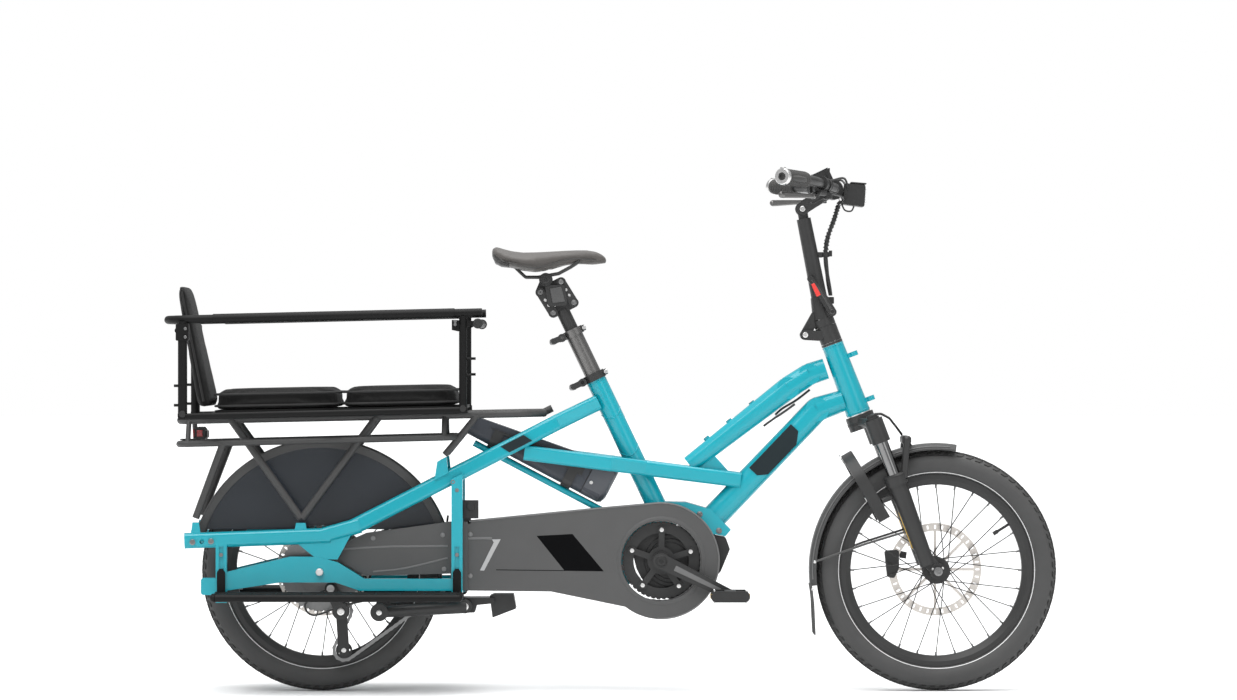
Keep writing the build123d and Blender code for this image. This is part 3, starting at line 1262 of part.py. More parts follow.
with BuildPart() as lower_seat_clamp:
    round_bar(on_seat_axis(seat_tube_length), on_seat_axis(clamp_top), 24.5, outer_post_radius + running_fit)
    low, high = on_seat_axis(seat_tube_length + 1) + seat_side * 28.5, on_seat_axis(clamp_top - 1) + seat_side * 28.5
    box_low, length = run_plane(low, high)
    with BuildSketch(box_low) as lug:
        RectangleRounded(30, 15, 3)
    extrude(lug.sketch, amount=length)
    round_bar(on_seat_axis(seat_tube_length - 2), on_seat_axis(clamp_top + 2), outer_post_radius + running_fit,
              mode=Mode.SUBTRACT)
    low_pin = on_seat_axis(seat_tube_length + 8) + seat_side * 28.5
    round_bar(low_pin - Vector(0, 20, 0), low_pin + Vector(0, 20, 0), pin_radius)
finish_part(lower_seat_clamp, "lower_seat_clamp")


def make_clamp_lever(name, pin, reach):
    """A quick-release lever whose eye turns on the clamp's pin."""
    with BuildPart() as lever:
        eye = (pin.X, pin.Z)
        side_disc(eye, 9.0, -26.0, -15.6)
        side_slot(eye, (eye[0] + reach[0], eye[1] + reach[1]), 6.5, -26.0, -19.0)
        side_disc(eye, pin_radius + running_fit, -27.0, -15.0, mode=Mode.SUBTRACT)
        box_tube((eye[0] + reach[0], -24.0, eye[1] + reach[1]), (eye[0] + reach[0] - 4, 12.0, eye[1] + reach[1] - 2),
                 13.0, 13.0)
    finish_part(lever, name)


make_clamp_lever("upper_clamp_lever", pin_place, (-17.0, -7.0))
make_clamp_lever("lower_clamp_lever", low_pin, (-19.0, -9.0))

with BuildPart() as seatpost_inner:
    round_bar(on_seat_axis(inner_post_low), on_seat_axis(461), inner_post_radius)
    side_slot(link_low_rear, link_low_front, 10.5, -11.0, 11.0)
    for pivot in (link_low_rear, link_low_front):
        side_disc(pivot, pin_radius, -22.0, 22.0)
finish_part(seatpost_inner, "seatpost_inner")


def make_link(name, low, high):
    """A parallelogram link: two side plates joined by a web."""
    with BuildPart() as link:
        for sign in (1, -1):
            side = sorted((sign * 11.4, sign * 21.0))
            side_slot(low, high, 10.0, side[0], side[1])
        middle = ((low[0] + high[0]) / 2, (low[1] + high[1]) / 2)
        side_disc(middle, 4.0, -12.0, 12.0)
        for pivot in (low, high):
            side_disc(pivot, pin_radius + running_fit, -22.0, 22.0, mode=Mode.SUBTRACT)
    finish_part(link, name)


make_link("link_rear", link_low_rear, link_high_rear)
make_link("link_front", link_low_front, link_high_front)

rail_points = [(-214, 926), (-205, 917), (-190, 903), (-163, 903), (-118, 911), (-92, 925), (-72, 938)]
seat_rail_y = 22.0
with BuildPart() as saddle_head:
    side_slot(link_high_rear, link_high_front, 10.5, -11.0, 11.0)
    side_slot(link_high_rear, rail_clamp, 11.0, -11.0, 11.0)
    side_disc(rail_clamp, 14.6, -29.0, 29.0)
    for pivot in (link_high_rear, link_high_front):
        side_disc(pivot, pin_radius, -25.5, 22.0)
    cover = [(-148, 886), (-104, 886), (-98, 842), (-140, 838)]
    side_plate(cover, -27.0, -23.0, 6.0)
    for sign in (1, -1):
        place = sign * seat_rail_y
        run = [(x, place, z) for x, z in rail_points]
        round_bar(run[3], run[4], 3.6, mode=Mode.SUBTRACT)
        round_bar(run[2], run[3], 3.6, mode=Mode.SUBTRACT)
    for sign in (1, -1):
        run = [(x, sign * seat_rail_y, z) for x, z in rail_points]
        bent_bar(run, 3.5, 6.0)
finish_part(saddle_head, "saddle_head")

saddle_rows = [
    (-263, 96, 968, 934, 0), (-245, 128, 961, 922, 0), (-210, 146, 954, 914, 0), (-170, 146, 951, 912, 0),
    (-130, 108, 951, 917, 0), (-90, 62, 951, 926, 0), (-50, 46, 952, 932, 0), (-20, 38, 949, 933, 0),
    (-9, 24, 943, 934, 0),
]
with BuildPart() as saddle:
    sections = []
    for x, width, top, bottom, _ in saddle_rows:
        row_plane = Plane(origin=(x, 0, (top + bottom) / 2), x_dir=(0, 1, 0), z_dir=(1, 0, 0))
        with BuildSketch(row_plane) as section:
            RectangleRounded(width, top - bottom, 0.42 * (top - bottom))
        sections.append(section.sketch)
    loft(sections, ruled=True)
    for sign in (1, -1):
        run = [(x, sign * seat_rail_y, z) for x, z in rail_points]
        for before, after in zip(run, run[1:]):
            round_bar(before, after, 3.9, mode=Mode.SUBTRACT)
        with Locations(run[0], run[-1], run[1], run[5]):
            Sphere(4.1, mode=Mode.SUBTRACT)
    side_disc(rail_clamp, 15.2, -30.0, 30.0, mode=Mode.SUBTRACT)
finish_part(saddle, "saddle")

# ---------------------------------------------------------------- cables
bundle_radius = 5.5
with BuildPart() as cockpit_cables:
    bent_bar([(494, 0, 1061.5), (485, 0, 1030), (469.5, 0, 990), (465, 0, 951), (470, 0, 905), (477.0, 0, 861.2)],
             bundle_radius, 60.0)
finish_part(cockpit_cables, "cockpit_cables")

with BuildPart() as front_hose:
    hose_points = [steer(32.8, 0, 366), steer(46, 2, 362), steer(60, 10, 346), steer(68, 22, 322),
                   steer(74, 32, 302)]
    bent_bar([tuple(place) for place in hose_points], 2.6, 13.0)
finish_part(front_hose, "front_hose")

shackle_axis = Vector(0, 1, 0).cross(lock_axis).normalized()
shackle_start = radians(10.0)
with BuildPart() as lock_shackle:
    reach_out = Vector(0, 1, 0) * cos(shackle_start) + lock_axis * sin(shackle_start)
    forward = lock_axis * cos(shackle_start) - Vector(0, 1, 0) * sin(shackle_start)
    with BuildSketch(Plane(origin=lock_centre + reach_out * groove_radius, z_dir=forward)) as section:
        Circle(shackle_radius)
    revolve(section.sketch, axis=Axis(lock_centre, shackle_axis), revolution_arc=190)
finish_part(lock_shackle, "lock_shackle")
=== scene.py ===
"""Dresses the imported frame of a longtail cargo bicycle: finishes, soft goods, tyres, chain, cables and small parts."""
from __future__ import annotations

import json
import logging
import math
from dataclasses import dataclass, field
from enum import Enum
from typing import Iterable, Sequence

import bmesh
import bpy
from mathutils import Matrix, Vector

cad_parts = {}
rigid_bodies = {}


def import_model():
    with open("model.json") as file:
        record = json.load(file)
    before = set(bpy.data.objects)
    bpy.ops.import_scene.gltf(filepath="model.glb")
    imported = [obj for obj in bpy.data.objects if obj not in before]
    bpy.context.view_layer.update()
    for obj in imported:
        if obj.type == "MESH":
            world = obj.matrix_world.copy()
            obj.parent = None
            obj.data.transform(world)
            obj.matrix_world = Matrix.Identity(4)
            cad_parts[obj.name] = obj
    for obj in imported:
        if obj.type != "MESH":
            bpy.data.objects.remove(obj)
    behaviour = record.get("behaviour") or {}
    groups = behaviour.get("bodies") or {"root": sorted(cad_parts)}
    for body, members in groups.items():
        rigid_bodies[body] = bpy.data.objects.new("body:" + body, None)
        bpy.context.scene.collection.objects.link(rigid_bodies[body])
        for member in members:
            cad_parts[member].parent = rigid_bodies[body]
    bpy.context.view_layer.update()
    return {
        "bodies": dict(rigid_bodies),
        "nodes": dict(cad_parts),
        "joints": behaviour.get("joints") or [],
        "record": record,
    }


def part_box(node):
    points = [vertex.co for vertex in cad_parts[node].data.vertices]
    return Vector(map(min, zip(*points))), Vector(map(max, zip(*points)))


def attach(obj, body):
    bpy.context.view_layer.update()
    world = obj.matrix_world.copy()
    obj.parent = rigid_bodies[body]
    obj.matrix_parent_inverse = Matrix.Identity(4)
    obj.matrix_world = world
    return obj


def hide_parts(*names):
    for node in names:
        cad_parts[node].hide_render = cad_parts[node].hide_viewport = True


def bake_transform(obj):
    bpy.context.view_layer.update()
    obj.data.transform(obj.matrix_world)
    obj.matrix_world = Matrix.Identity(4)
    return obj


log = logging.getLogger("cargo_bicycle")
MM = 0.001
UP = Vector((0, 0, 1))
LEFT = Vector((0, 1, 0))


# ------------------------------------------------------------------ shader node groups
class Effect(Enum):
    """The surface effects that more than one finish uses."""

    GRAIN = "fine_grain"
    DUST = "settled_dust"
    WEAVE = "plain_weave"
    BRUSH = "brushed_lines"


def math_node(tree: bpy.types.NodeTree, kind: str, first: object, second: object = 0.0) -> bpy.types.NodeSocket:
    """Adds a math node.

    Args:
        tree: The node tree.
        kind: The operation.
        first: A socket or a number.
        second: A socket or a number.

    Returns:
        The node's output socket.
    """
    node = tree.nodes.new("ShaderNodeMath")
    node.operation = kind
    for slot, value in zip(node.inputs, (first, second)):
        if isinstance(value, bpy.types.NodeSocket):
            tree.links.new(value, slot)
        else:
            slot.default_value = value
    return node.outputs[0]


def noise_node(tree: bpy.types.NodeTree, place: bpy.types.NodeSocket, scale: object, detail: float,
               rough: float = 0.5) -> bpy.types.NodeSocket:
    """Adds a noise texture and returns its factor socket."""
    node = tree.nodes.new("ShaderNodeTexNoise")
    node.inputs["Detail"].default_value = detail
    node.inputs["Roughness"].default_value = rough
    tree.links.new(place, node.inputs["Vector"])
    if isinstance(scale, bpy.types.NodeSocket):
        tree.links.new(scale, node.inputs["Scale"])
    else:
        node.inputs["Scale"].default_value = scale
    return node.outputs["Fac"]


def new_group(effect: Effect, inputs: dict[str, float]) -> tuple[bpy.types.NodeTree, object, object, object]:
    """Starts a shader group with float inputs and the outputs Height and Mask.

    Args:
        effect: The effect that names the group.
        inputs: Each input's name and default.

    Returns:
        The tree, its input node, its output node and the object-space coordinates.
    """
    tree = bpy.data.node_groups.new(effect.value, "ShaderNodeTree")
    for name, value in inputs.items():
        socket = tree.interface.new_socket(name=name, in_out="INPUT", socket_type="NodeSocketFloat")
        socket.default_value = value
    for name in ("Height", "Mask"):
        tree.interface.new_socket(name=name, in_out="OUTPUT", socket_type="NodeSocketFloat")
    enter = tree.nodes.new("NodeGroupInput")
    leave = tree.nodes.new("NodeGroupOutput")
    place = tree.nodes.new("ShaderNodeTexCoord").outputs["Object"]
    return tree, enter, leave, place


def grain_group() -> bpy.types.NodeTree:
    """Fine moulded or sprayed grain: Height is the grain and Mask a slow change of tone."""
    tree, enter, leave, place = new_group(Effect.GRAIN, {"Scale": 900.0})
    fine = noise_node(tree, place, enter.outputs["Scale"], 4.0, 0.6)
    slow = noise_node(tree, place, 14.0, 3.0)
    tree.links.new(fine, leave.inputs["Height"])
    tree.links.new(slow, leave.inputs["Mask"])
    return tree


def dust_group() -> bpy.types.NodeTree:
    """Dust that lies on surfaces that face up and in patches: Mask is its cover, Height its thickness."""
    tree, enter, leave, place = new_group(Effect.DUST, {"Amount": 0.2})
    facing = tree.nodes.new("ShaderNodeSeparateXYZ")
    geometry = tree.nodes.new("ShaderNodeNewGeometry")
    tree.links.new(geometry.outputs["Normal"], facing.inputs[0])
    upward = math_node(tree, "MAXIMUM", facing.outputs["Z"], 0.0)
    patches = noise_node(tree, place, 55.0, 6.0, 0.7)
    cover = math_node(tree, "MULTIPLY", math_node(tree, "ADD", upward, 0.25), patches)
    mask = math_node(tree, "MULTIPLY", cover, enter.outputs["Amount"])
    tree.links.new(mask, leave.inputs["Mask"])
    tree.links.new(patches, leave.inputs["Height"])
    return tree


def weave_group() -> bpy.types.NodeTree:
    """A plain weave in the two directions of a flat face: Height is the yarns, and Mask is the yarn height times slow
    noise, which paints the gaps between the yarns darker as painted shade, with a slow random change of tone.
    """
    tree, enter, leave, place = new_group(Effect.WEAVE, {"Pitch": 0.0016})
    parts = tree.nodes.new("ShaderNodeSeparateXYZ")
    tree.links.new(place, parts.inputs[0])
    step = math_node(tree, "DIVIDE", 2 * math.pi, enter.outputs["Pitch"])
    along = math_node(tree, "ADD", parts.outputs["X"], math_node(tree, "MULTIPLY", parts.outputs["Z"], 0.73))
    first = math_node(tree, "SINE", math_node(tree, "MULTIPLY", along, step))
    second = math_node(tree, "SINE", math_node(tree, "MULTIPLY", parts.outputs["Y"], step))
    over = math_node(tree, "MULTIPLY", first, second)
    height = math_node(tree, "ADD", math_node(tree, "MULTIPLY", over, 0.5), 0.5)
    slow = noise_node(tree, place, 30.0, 4.0)
    tree.links.new(height, leave.inputs["Height"])
    # Mask: painted shade, darker where the yarns dip into the gaps, broken up by slow random tone.
    tree.links.new(math_node(tree, "MULTIPLY", height, slow), leave.inputs["Mask"])
    return tree


def brush_group() -> bpy.types.NodeTree:
    """Lines left by turning or brushing: Height and Mask are the lines."""
    tree, enter, leave, place = new_group(Effect.BRUSH, {"Scale": 60.0})
    stretch = tree.nodes.new("ShaderNodeMapping")
    stretch.inputs["Scale"].default_value = (1.0, 30.0, 1.0)
    tree.links.new(place, stretch.inputs["Vector"])
    lines = noise_node(tree, stretch.outputs["Vector"], enter.outputs["Scale"], 5.0, 0.7)
    tree.links.new(lines, leave.inputs["Height"])
    tree.links.new(lines, leave.inputs["Mask"])
    return tree


GROUP_MAKERS = {Effect.GRAIN: grain_group, Effect.DUST: dust_group, Effect.WEAVE: weave_group,
                Effect.BRUSH: brush_group}


def effect_node(tree: bpy.types.NodeTree, effect: Effect, **values: float) -> bpy.types.Node:
    """Places an effect's group in a material.

    Args:
        tree: The material's node tree.
        effect: Which group.
        **values: The group's input values.

    Returns:
        The group node.
    """
    group = bpy.data.node_groups.get(effect.value) or GROUP_MAKERS[effect]()
    node = tree.nodes.new("ShaderNodeGroup")
    node.node_tree = group
    for name, value in values.items():
        node.inputs[name].default_value = value
    return node


# ------------------------------------------------------------------ finishes
@dataclass(frozen=True)
class Finish:
    """One finish: its colour, gloss and the surface detail that breaks them up."""

    name: str
    colour: tuple[float, float, float]
    second: tuple[float, float, float]
    rough: float
    rough_spread: float = 0.12
    metallic: float = 0.0
    effect: Effect = Effect.GRAIN
    effect_size: float = 900.0
    bump: float = 0.06
    bump_depth: float = 0.0002
    coat: float = 0.0
    coat_rough: float = 0.05
    dust: float = 0.08
    sheen: float = 0.0
    alpha: float = 1.0
    glow: float = 0.0
    specular: float = 0.32

    def material(self) -> bpy.types.Material:
        """Returns the finish's material, made once."""
        found = bpy.data.materials.get(self.name)
        if found:
            return found
        material = bpy.data.materials.new(self.name)
        material.use_nodes = True
        tree = material.node_tree
        shader = tree.nodes["Principled BSDF"]
        size_name = "Pitch" if self.effect is Effect.WEAVE else "Scale"
        detail = effect_node(tree, self.effect, **{size_name: self.effect_size})
        dust = effect_node(tree, Effect.DUST, Amount=self.dust)
        # The weave's Mask paints shade into the gaps between yarns; the other effects' Mask is random tone or brushed
        # lines.
        tone = self.mix(tree, detail.outputs["Mask"], self.colour, self.second)
        dusty = tree.nodes.new("ShaderNodeMix")
        dusty.data_type = "RGBA"
        dusty.inputs["B"].default_value = (0.42, 0.41, 0.39, 1.0)
        for source, target in ((dust.outputs["Mask"], dusty.inputs["Factor"]), (tone, dusty.inputs[6])):
            tree.links.new(source, target)
        dusty.inputs[7].default_value = (0.42, 0.41, 0.39, 1.0)
        tree.links.new(dusty.outputs[2], shader.inputs["Base Color"])
        spread = math_node(tree, "MULTIPLY", detail.outputs["Mask"], self.rough_spread)
        rough = math_node(tree, "ADD", spread, self.rough - self.rough_spread / 2)
        worn = math_node(tree, "ADD", rough, math_node(tree, "MULTIPLY", dust.outputs["Mask"], 0.5))
        tree.links.new(worn, shader.inputs["Roughness"])
        bump = tree.nodes.new("ShaderNodeBump")
        bump.inputs["Strength"].default_value = self.bump
        bump.inputs["Distance"].default_value = self.bump_depth
        tree.links.new(detail.outputs["Height"], bump.inputs["Height"])
        tree.links.new(bump.outputs["Normal"], shader.inputs["Normal"])
        shader.inputs["Metallic"].default_value = self.metallic
        shader.inputs["Specular IOR Level"].default_value = self.specular
        shader.inputs["Coat Weight"].default_value = self.coat
        shader.inputs["Coat Roughness"].default_value = self.coat_rough
        shader.inputs["Sheen Weight"].default_value = self.sheen
        shader.inputs["Alpha"].default_value = self.alpha
        if self.glow:
            shader.inputs["Emission Color"].default_value = (*self.colour, 1.0)
            shader.inputs["Emission Strength"].default_value = self.glow
        return material

    @staticmethod
    def mix(tree: bpy.types.NodeTree, factor: bpy.types.NodeSocket, first: Sequence[float],
            second: Sequence[float]) -> bpy.types.NodeSocket:
        """Mixes two colours by a mask and returns the colour socket."""
        node = tree.nodes.new("ShaderNodeMix")
        node.data_type = "RGBA"
        node.inputs[6].default_value = (*first, 1.0)
        node.inputs[7].default_value = (*second, 1.0)
        tree.links.new(factor, node.inputs["Factor"])
        return node.outputs[2]


def grey(level: float, warm: float = 1.0) -> tuple[float, float, float]:
    """A grey, a little warm above 1 or cool below."""
    return (level * warm, level, level / warm)


TEAL = Finish("teal_paint", (0.0012, 0.285, 0.350), (0.0016, 0.305, 0.375), 0.34, 0.05, effect_size=500.0, bump=0.004,
              coat=0.55, coat_rough=0.07, dust=0.012, specular=0.22)
SATIN_BLACK = Finish("satin_black_metal", grey(0.020), grey(0.030), 0.38, effect_size=1200.0, dust=0.03)
GREY_ALLOY = Finish("dark_grey_alloy", grey(0.145, 1.02), grey(0.160, 1.02), 0.34, metallic=0.85,
                    effect=Effect.BRUSH, effect_size=90.0, bump=0.008, dust=0.02)
GLOSS_BLACK = Finish("gloss_black_lever", grey(0.020), grey(0.030), 0.16, 0.06, effect_size=700.0, coat=0.6, dust=0.03)
RAIL_BLACK = Finish("rail_black_powder_coat", grey(0.003), grey(0.006), 0.50, effect_size=1500.0, bump=0.12, dust=0.015,
                    specular=0.16)
RACK_GREY = Finish("rack_grey_powder_coat", grey(0.038), grey(0.052), 0.50, effect_size=1500.0, bump=0.12, dust=0.05)
CASE_GREY = Finish("chain_case_grey", grey(0.062), grey(0.074), 0.50, effect_size=1300.0, bump=0.16, dust=0.04)
TRIM_BLACK = Finish("moulded_black_plastic", grey(0.014), grey(0.022), 0.46, effect_size=1500.0, bump=0.14, dust=0.03)
FENDER_GREY = Finish("mudguard_dark_grey", grey(0.050), grey(0.066), 0.46, effect_size=1100.0, bump=0.1, dust=0.08)
BATTERY_GREY = Finish("battery_dark_grey", (0.032, 0.036, 0.045), (0.044, 0.049, 0.060), 0.44, effect_size=1400.0,
                      bump=0.14, dust=0.05)
SKIRT = Finish("smoked_skirt", (0.018, 0.022, 0.028), (0.028, 0.033, 0.040), 0.22, 0.06, effect_size=500.0,
               bump=0.03, dust=0.05, alpha=0.93)
STEEL = Finish("brushed_steel_parts", grey(0.55, 1.01), grey(0.68, 1.01), 0.30, metallic=1.0, effect=Effect.BRUSH,
               effect_size=60.0, bump=0.04, dust=0.02)
DARK_STEEL = Finish("dark_steel", grey(0.16), grey(0.24), 0.36, metallic=1.0, effect=Effect.BRUSH,
                    effect_size=60.0, bump=0.06, dust=0.05)
ROTOR = Finish("brake_disc_steel", (0.52, 0.49, 0.46), (0.66, 0.62, 0.58), 0.32, metallic=1.0, effect=Effect.BRUSH,
               effect_size=90.0, bump=0.06, dust=0.02)
CHROME = Finish("polished_stanchion", grey(0.17), grey(0.22), 0.14, 0.06, metallic=1.0, effect=Effect.BRUSH,
                effect_size=20.0, bump=0.01, dust=0.01)
TYRE = Finish("tyre_rubber", grey(0.040), grey(0.056), 0.62, effect_size=1000.0, bump=0.2, bump_depth=0.0003, dust=0.10)
TREAD = Finish("tread_rubber", grey(0.020), grey(0.030), 0.70, effect_size=1000.0, bump=0.25, bump_depth=0.0003,
               dust=0.12)
STRIPE = Finish("reflective_stripe", grey(0.62), grey(0.78), 0.34, effect_size=800.0, bump=0.05, dust=0.03)
RUBBER = Finish("grip_rubber", grey(0.035, 1.02), grey(0.055, 1.02), 0.66, effect_size=1300.0, bump=0.2, dust=0.08)
CABLE = Finish("cable_sheath", grey(0.020), grey(0.032), 0.38, effect_size=900.0, bump=0.08, dust=0.04)
SADDLE = Finish("saddle_hide", (0.060, 0.055, 0.051), (0.080, 0.073, 0.068), 0.52, effect_size=1600.0, bump=0.28,
                bump_depth=0.00035, dust=0.02, sheen=0.12)
SADDLE_TAIL = Finish("saddle_tail", grey(0.022, 1.03), grey(0.034, 1.03), 0.42, effect_size=1200.0, bump=0.1)
PAD = Finish("bench_pad_fabric", grey(0.005), grey(0.012), 0.86, effect=Effect.WEAVE, effect_size=0.0021, bump=0.55,
             bump_depth=0.0005, dust=0.02, sheen=0.06, specular=0.12)
PIPING = Finish("pad_piping", grey(0.010), grey(0.016), 0.62, effect_size=1500.0, bump=0.15, dust=0.02)
DECAL = Finish("dark_decal", (0.0008, 0.0009, 0.0013), (0.0015, 0.0016, 0.002), 0.5, 0.08, effect_size=600.0,
               bump=0.02, dust=0.004, specular=0.06)
SLATE_DECAL = Finish("slate_decal", (0.008, 0.015, 0.018), (0.012, 0.020, 0.024), 0.34, 0.08, effect_size=600.0,
                     bump=0.02, dust=0.01, specular=0.2)
SILVER_DECAL = Finish("silver_slash", grey(0.34), grey(0.44), 0.34, metallic=0.4, effect_size=900.0, bump=0.04)
RIM_GREY = Finish("case_rim_grey", grey(0.11), grey(0.14), 0.40, effect_size=1200.0, bump=0.08)
RED_CATCH = Finish("red_catch", (0.62, 0.035, 0.03), (0.72, 0.055, 0.045), 0.36, effect_size=900.0, bump=0.06)
RED_LENS = Finish("red_lens", (0.20, 0.005, 0.006), (0.28, 0.008, 0.009), 0.10, 0.05, effect_size=300.0, bump=0.05,
                  coat=0.8, dust=0.02)
CLEAR_LENS = Finish("clear_lamp_lens", grey(0.62), grey(0.80), 0.08, 0.04, effect_size=260.0, bump=0.12, coat=0.8,
                    dust=0.01, glow=0.10)
SCREEN = Finish("display_glass", (0.010, 0.012, 0.015), (0.016, 0.018, 0.022), 0.08, 0.04, effect_size=200.0,
                bump=0.01, coat=0.9, dust=0.02)
GOLD = Finish("gold_adjuster", (0.52, 0.33, 0.07), (0.62, 0.42, 0.12), 0.34, metallic=0.9, effect=Effect.BRUSH,
              effect_size=60.0, bump=0.03, dust=0.02)

NODE_FINISHES: dict[Finish, tuple[str, ...]] = {
    TEAL: ("frame_front", "frame_rear"),
    SATIN_BLACK: ("fork_crown", "fork_lowers", "post_base", "handlepost", "stem_head", "handlebar", "crankset",
                  "chainring", "front_axle", "front_rim", "rear_rim", "front_hub", "rear_hub", "derailleur_body",
                  "derailleur_cage", "saddle_head", "link_front", "link_rear", "seatpost_inner", "lower_seat_clamp",
                  "upper_clamp_lever", "lower_clamp_lever", "ring_lock", "stand_legs", "frame_brackets",
                  "front_caliper", "rear_caliper"),
    GREY_ALLOY: ("seatpost_outer", "left_brake_lever", "right_brake_lever"),
    GLOSS_BLACK: ("latch_lever",),
    RAIL_BLACK: ("safety_rail", "foot_rests"),
    RACK_GREY: ("rack",),
    CASE_GREY: ("chain_case",),
    TRIM_BLACK: ("bar_fittings", "headlight", "left_pedal", "right_pedal", "motor_unit", "tail_light"),
    FENDER_GREY: ("front_fender", "rear_fender"),
    BATTERY_GREY: ("battery",),
    SKIRT: ("wheel_skirts",),
    DARK_STEEL: ("cassette",),
    STEEL: ("frame_fasteners", "lock_shackle"),
    ROTOR: ("front_rotor", "rear_rotor"),
    RUBBER: ("grips",),
    CABLE: ("front_hose",),
}
REPLACED = ("front_tyre", "rear_tyre", "chain", "seat_pads", "saddle", "cockpit_cables")
SMOOTH_ANGLE = math.radians(32)


# ------------------------------------------------------------------ mesh building
def across(axis: Vector) -> tuple[Vector, Vector]:
    """Two unit directions square to an axis and to each other."""
    guide = LEFT if abs(axis.y) < 0.9 else UP
    first = axis.cross(guide).normalized()
    return first, axis.cross(first).normalized()


def smooth_path(points: Sequence[Vector], steps: int = 10) -> list[Vector]:
    """A smooth line through given points.

    Args:
        points: The points in order.
        steps: How many pieces each span is cut into.

    Returns:
        The points of a Catmull-Rom line.
    """
    padded = [points[0] * 2 - points[1], *points, points[-1] * 2 - points[-2]]
    line = []
    for number in range(1, len(padded) - 2):
        before, start, end, after = padded[number - 1:number + 3]
        for step in range(steps):
            t = step / steps
            line.append(0.5 * (2 * start + (end - before) * t + (2 * before - 5 * start + 4 * end - after) * t * t
                               + (3 * start - before - 3 * end + after) * t ** 3))
    line.append(points[-1].copy())
    return line


@dataclass(frozen=True)
class Bend:
    """Where a flexible piece would start to follow a second body, and where it would follow it wholly; no code makes it
    follow.
    """

    body: str
    start: Vector
    end: Vector


